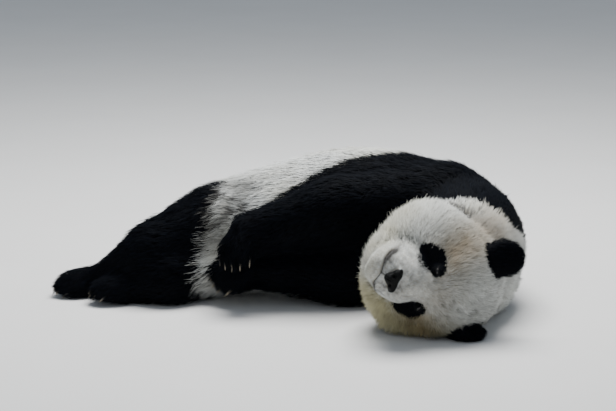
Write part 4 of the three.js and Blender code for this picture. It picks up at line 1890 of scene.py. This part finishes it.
    def _piece(self, name: str, tufts: dict[str, np.ndarray]) -> bpy.types.Object:
        """Builds one piece of the coat from the lines of its tufts.

        Args:
            name: the piece's name.
            tufts: what is known of each tuft, by name.

        Returns:
            The piece.
        """
        place, middle, tip, out = tufts["place"], tufts["middle"], tufts["tip"], tufts["out"]
        count, each = len(place), len(TUFT_RISE)
        along = unit(tip - place)
        side = unit(np.cross(along, out))
        crest = np.cross(side, along)
        mixed = tufts["hip"] * blob(tufts["black"], self.border)
        half = tufts["width"] * (0.75 + 0.5 * self.random.random(count)) / 2 * (1 - 0.35 * mixed)
        rings = []
        for centre, size in ((place - out * self.sunk, 0.8), (middle, 1.0)):
            across = side * (half * size)[:, None]
            rings += [centre - across, centre + across, centre + crest * (half * size * 0.8)[:, None]]
        corners = np.stack([*rings, tip], axis=1)
        corners[:, :6, 2] = np.maximum(corners[:, :6, 2], self.ring_clear)
        faces = np.arange(count)[:, None, None] * each + TUFT_FACES[None]
        mesh = bpy.data.meshes.new(name)
        self._fill(mesh, corners.reshape(-1, 3), faces.reshape(-1, 3))
        # painted shade of the coat's depth: rising from the root to 1 at the tip, and starting higher for
        # short hair
        less_root_shade = tufts["less_root_shade"][:, None]
        set_attribute(mesh, "out_of_coat_shade", (less_root_shade + (1 - less_root_shade) * TUFT_RISE).ravel())
        set_attribute(mesh, "tone", np.repeat(self.random.random(count), each))
        tufts["grime_and_shade"] = np.clip(tufts["grime_and_shade"] + 0.8 * mixed * self.random.random(count), 0, 1)
        for tint_name in TINTS:
            set_attribute(mesh, tint_name, np.repeat(tufts[tint_name], each))
        fuzz = self.random.normal(0, 1, count) * (self.fuzz[0] + self.fuzz[1] * tufts["hip"])
        black, black_low = (tufts[part] + fuzz > 0 for part in ("black", "black_low"))
        dark = np.where(np.arange(len(TUFT_FACES)) < TUFT_TOP, black_low[:, None], black[:, None])
        mesh.polygons.foreach_set("material_index", dark.ravel().astype(np.int32))
        self._map(mesh, tufts["map"])
        self._soften(mesh, corners, crest, out)
        for material in self.materials:
            mesh.materials.append(material)
        thing = object_of(name, mesh)
        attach(thing, BODY)
        LOG.info("%s: %d tufts, %d triangles", name, count, len(mesh.polygons))
        return thing

    def _soften(
        self, mesh: bpy.types.Mesh, corners: np.ndarray, crest: np.ndarray, out: np.ndarray
    ) -> None:
        """Shades tufts by the form they lie on, as a deep coat does, with some of their own roundness.

        Args:
            mesh: the piece.
            corners: the seven vertices of each tuft.
            crest: the direction of each tuft's back.
            out: the coat's outward direction at each.
        """
        mesh.shade_smooth()
        centre = corners[:, :6].mean(1, keepdims=True)
        own = unit(corners - centre)
        own[:, 6] = crest
        normals = unit(own * (1 - self.soft) + out[:, None] * self.soft)
        mesh.normals_split_custom_set_from_vertices(normals.reshape(-1, 3).astype(np.float32))

    def _fill(self, mesh: bpy.types.Mesh, places: np.ndarray, faces: np.ndarray) -> None:
        """Puts joined copies of the tuft into a mesh.

        Args:
            mesh: an empty mesh.
            places: its vertices.
            faces: the vertices of each triangle.
        """
        mesh.vertices.add(len(places))
        mesh.vertices.foreach_set("co", places.astype(np.float32).ravel())
        mesh.loops.add(faces.size)
        mesh.loops.foreach_set("vertex_index", faces.astype(np.int32).ravel())
        mesh.polygons.add(len(faces))
        mesh.polygons.foreach_set("loop_start", np.arange(0, faces.size, 3, dtype=np.int32))
        mesh.update(calc_edges=True)

    def _map(self, mesh: bpy.types.Mesh, roots: np.ndarray) -> None:
        """Gives each tuft a small patch at its root's place on the skin's unwrap.

        Args:
            mesh: the piece.
            roots: the place of each root on the unwrap.
        """
        low, high = roots.min(0), roots.max(0)
        at_root = EDGE + (roots - low) / (high - low) * (1 - 2 * EDGE)
        corners = at_root[:, None, :] + (self.layout[None] - 0.5) * PATCH
        layer = mesh.uv_layers.new(name="OFBake")
        layer.data.foreach_set("uv", corners.astype(np.float32).ravel())


# ---------------------------------------------------------------- studio


@dataclass(frozen=True)
class Lamp:
    """A square soft lamp, in metres and watts."""

    name: str
    place: Triple
    size: float
    power: float


@dataclass(frozen=True)
class Studio:
    """Pale floor, soft lamps and the camera."""

    distance: float = 6.0
    elevation: float = 12.0
    view_angle: float = 15.2
    aim: Triple = (0.056, 0.059, 0.259)
    floor_size: float = 14.0
    # a wide key from above and a low fill from the camera's side
    lamps: tuple[Lamp, Lamp] = (
        Lamp("key", (0.2, 0.7, 3.3), 2.2, 240.0),
        Lamp("fill", (-1.4, -3.8, 1.9), 2.8, 12.0),
    )
    lamp_aim: Triple = (0.0, 0.0, 0.15)
    sky: str = "D8E4F3"
    sky_strength: float = 0.46

    def build(self) -> None:
        """Sets up the whole studio."""
        self._floor()
        for lamp in self.lamps:
            self._light(lamp)
        self._sky()
        self._camera()

    def _floor(self) -> None:
        """Lays one level sheet."""
        shape = bmesh.new()
        bmesh.ops.create_grid(shape, x_segments=2, y_segments=2, size=self.floor_size / 2)
        mesh = mesh_of("floor", shape)
        mesh.materials.append(FloorFinish().material())
        object_of("floor", mesh)

    def _light(self, lamp: Lamp) -> None:
        """Hangs one lamp and turns it to the panda.

        Args:
            lamp: its sizes.
        """
        data = bpy.data.lights.new(lamp.name, "AREA")
        data.size = lamp.size
        data.energy = lamp.power
        thing = object_of(lamp.name, data)
        thing.location = lamp.place
        sight = Vector(self.lamp_aim) - Vector(lamp.place)
        thing.rotation_euler = sight.to_track_quat("-Z", "Y").to_euler()

    def _sky(self) -> None:
        """Gives the world one pale colour."""
        world = bpy.data.worlds.new("pale sky")
        world.use_nodes = True
        inputs = world.node_tree.nodes["Background"].inputs
        inputs["Color"].default_value = linear(self.sky)
        inputs["Strength"].default_value = self.sky_strength
        bpy.context.scene.world = world

    def _camera(self) -> None:
        """Looks along +Y, a little down."""
        data = bpy.data.cameras.new("camera")
        data.angle = math.radians(self.view_angle)
        camera = object_of("camera", data)
        tilt = math.radians(self.elevation)
        back = Vector((0.0, -math.cos(tilt), math.sin(tilt)))
        camera.location = Vector(self.aim) + back * self.distance
        camera.rotation_euler = (-back).to_track_quat("-Z", "Y").to_euler()
        bpy.context.scene.camera = camera


def main() -> None:
    """Builds the panda and its studio, piece by piece."""
    logging.basicConfig(level=logging.INFO, format="%(message)s")
    Studio().build()
    head = HeadFrame.from_solids()
    skin = Skin(head)
    skin.build()
    LOG.info("skin: %d faces", len(skin.surface.faces))
    for side in Side:
        LOG.info("made %s", Eye(side).build(head).name)
    LOG.info("made %s", Nose().build(head).name)
    for foot in FEET:
        LOG.info("made %s", Claws(foot).build().name)
    Coat(skin).build()


if __name__ == "__main__":
    main()
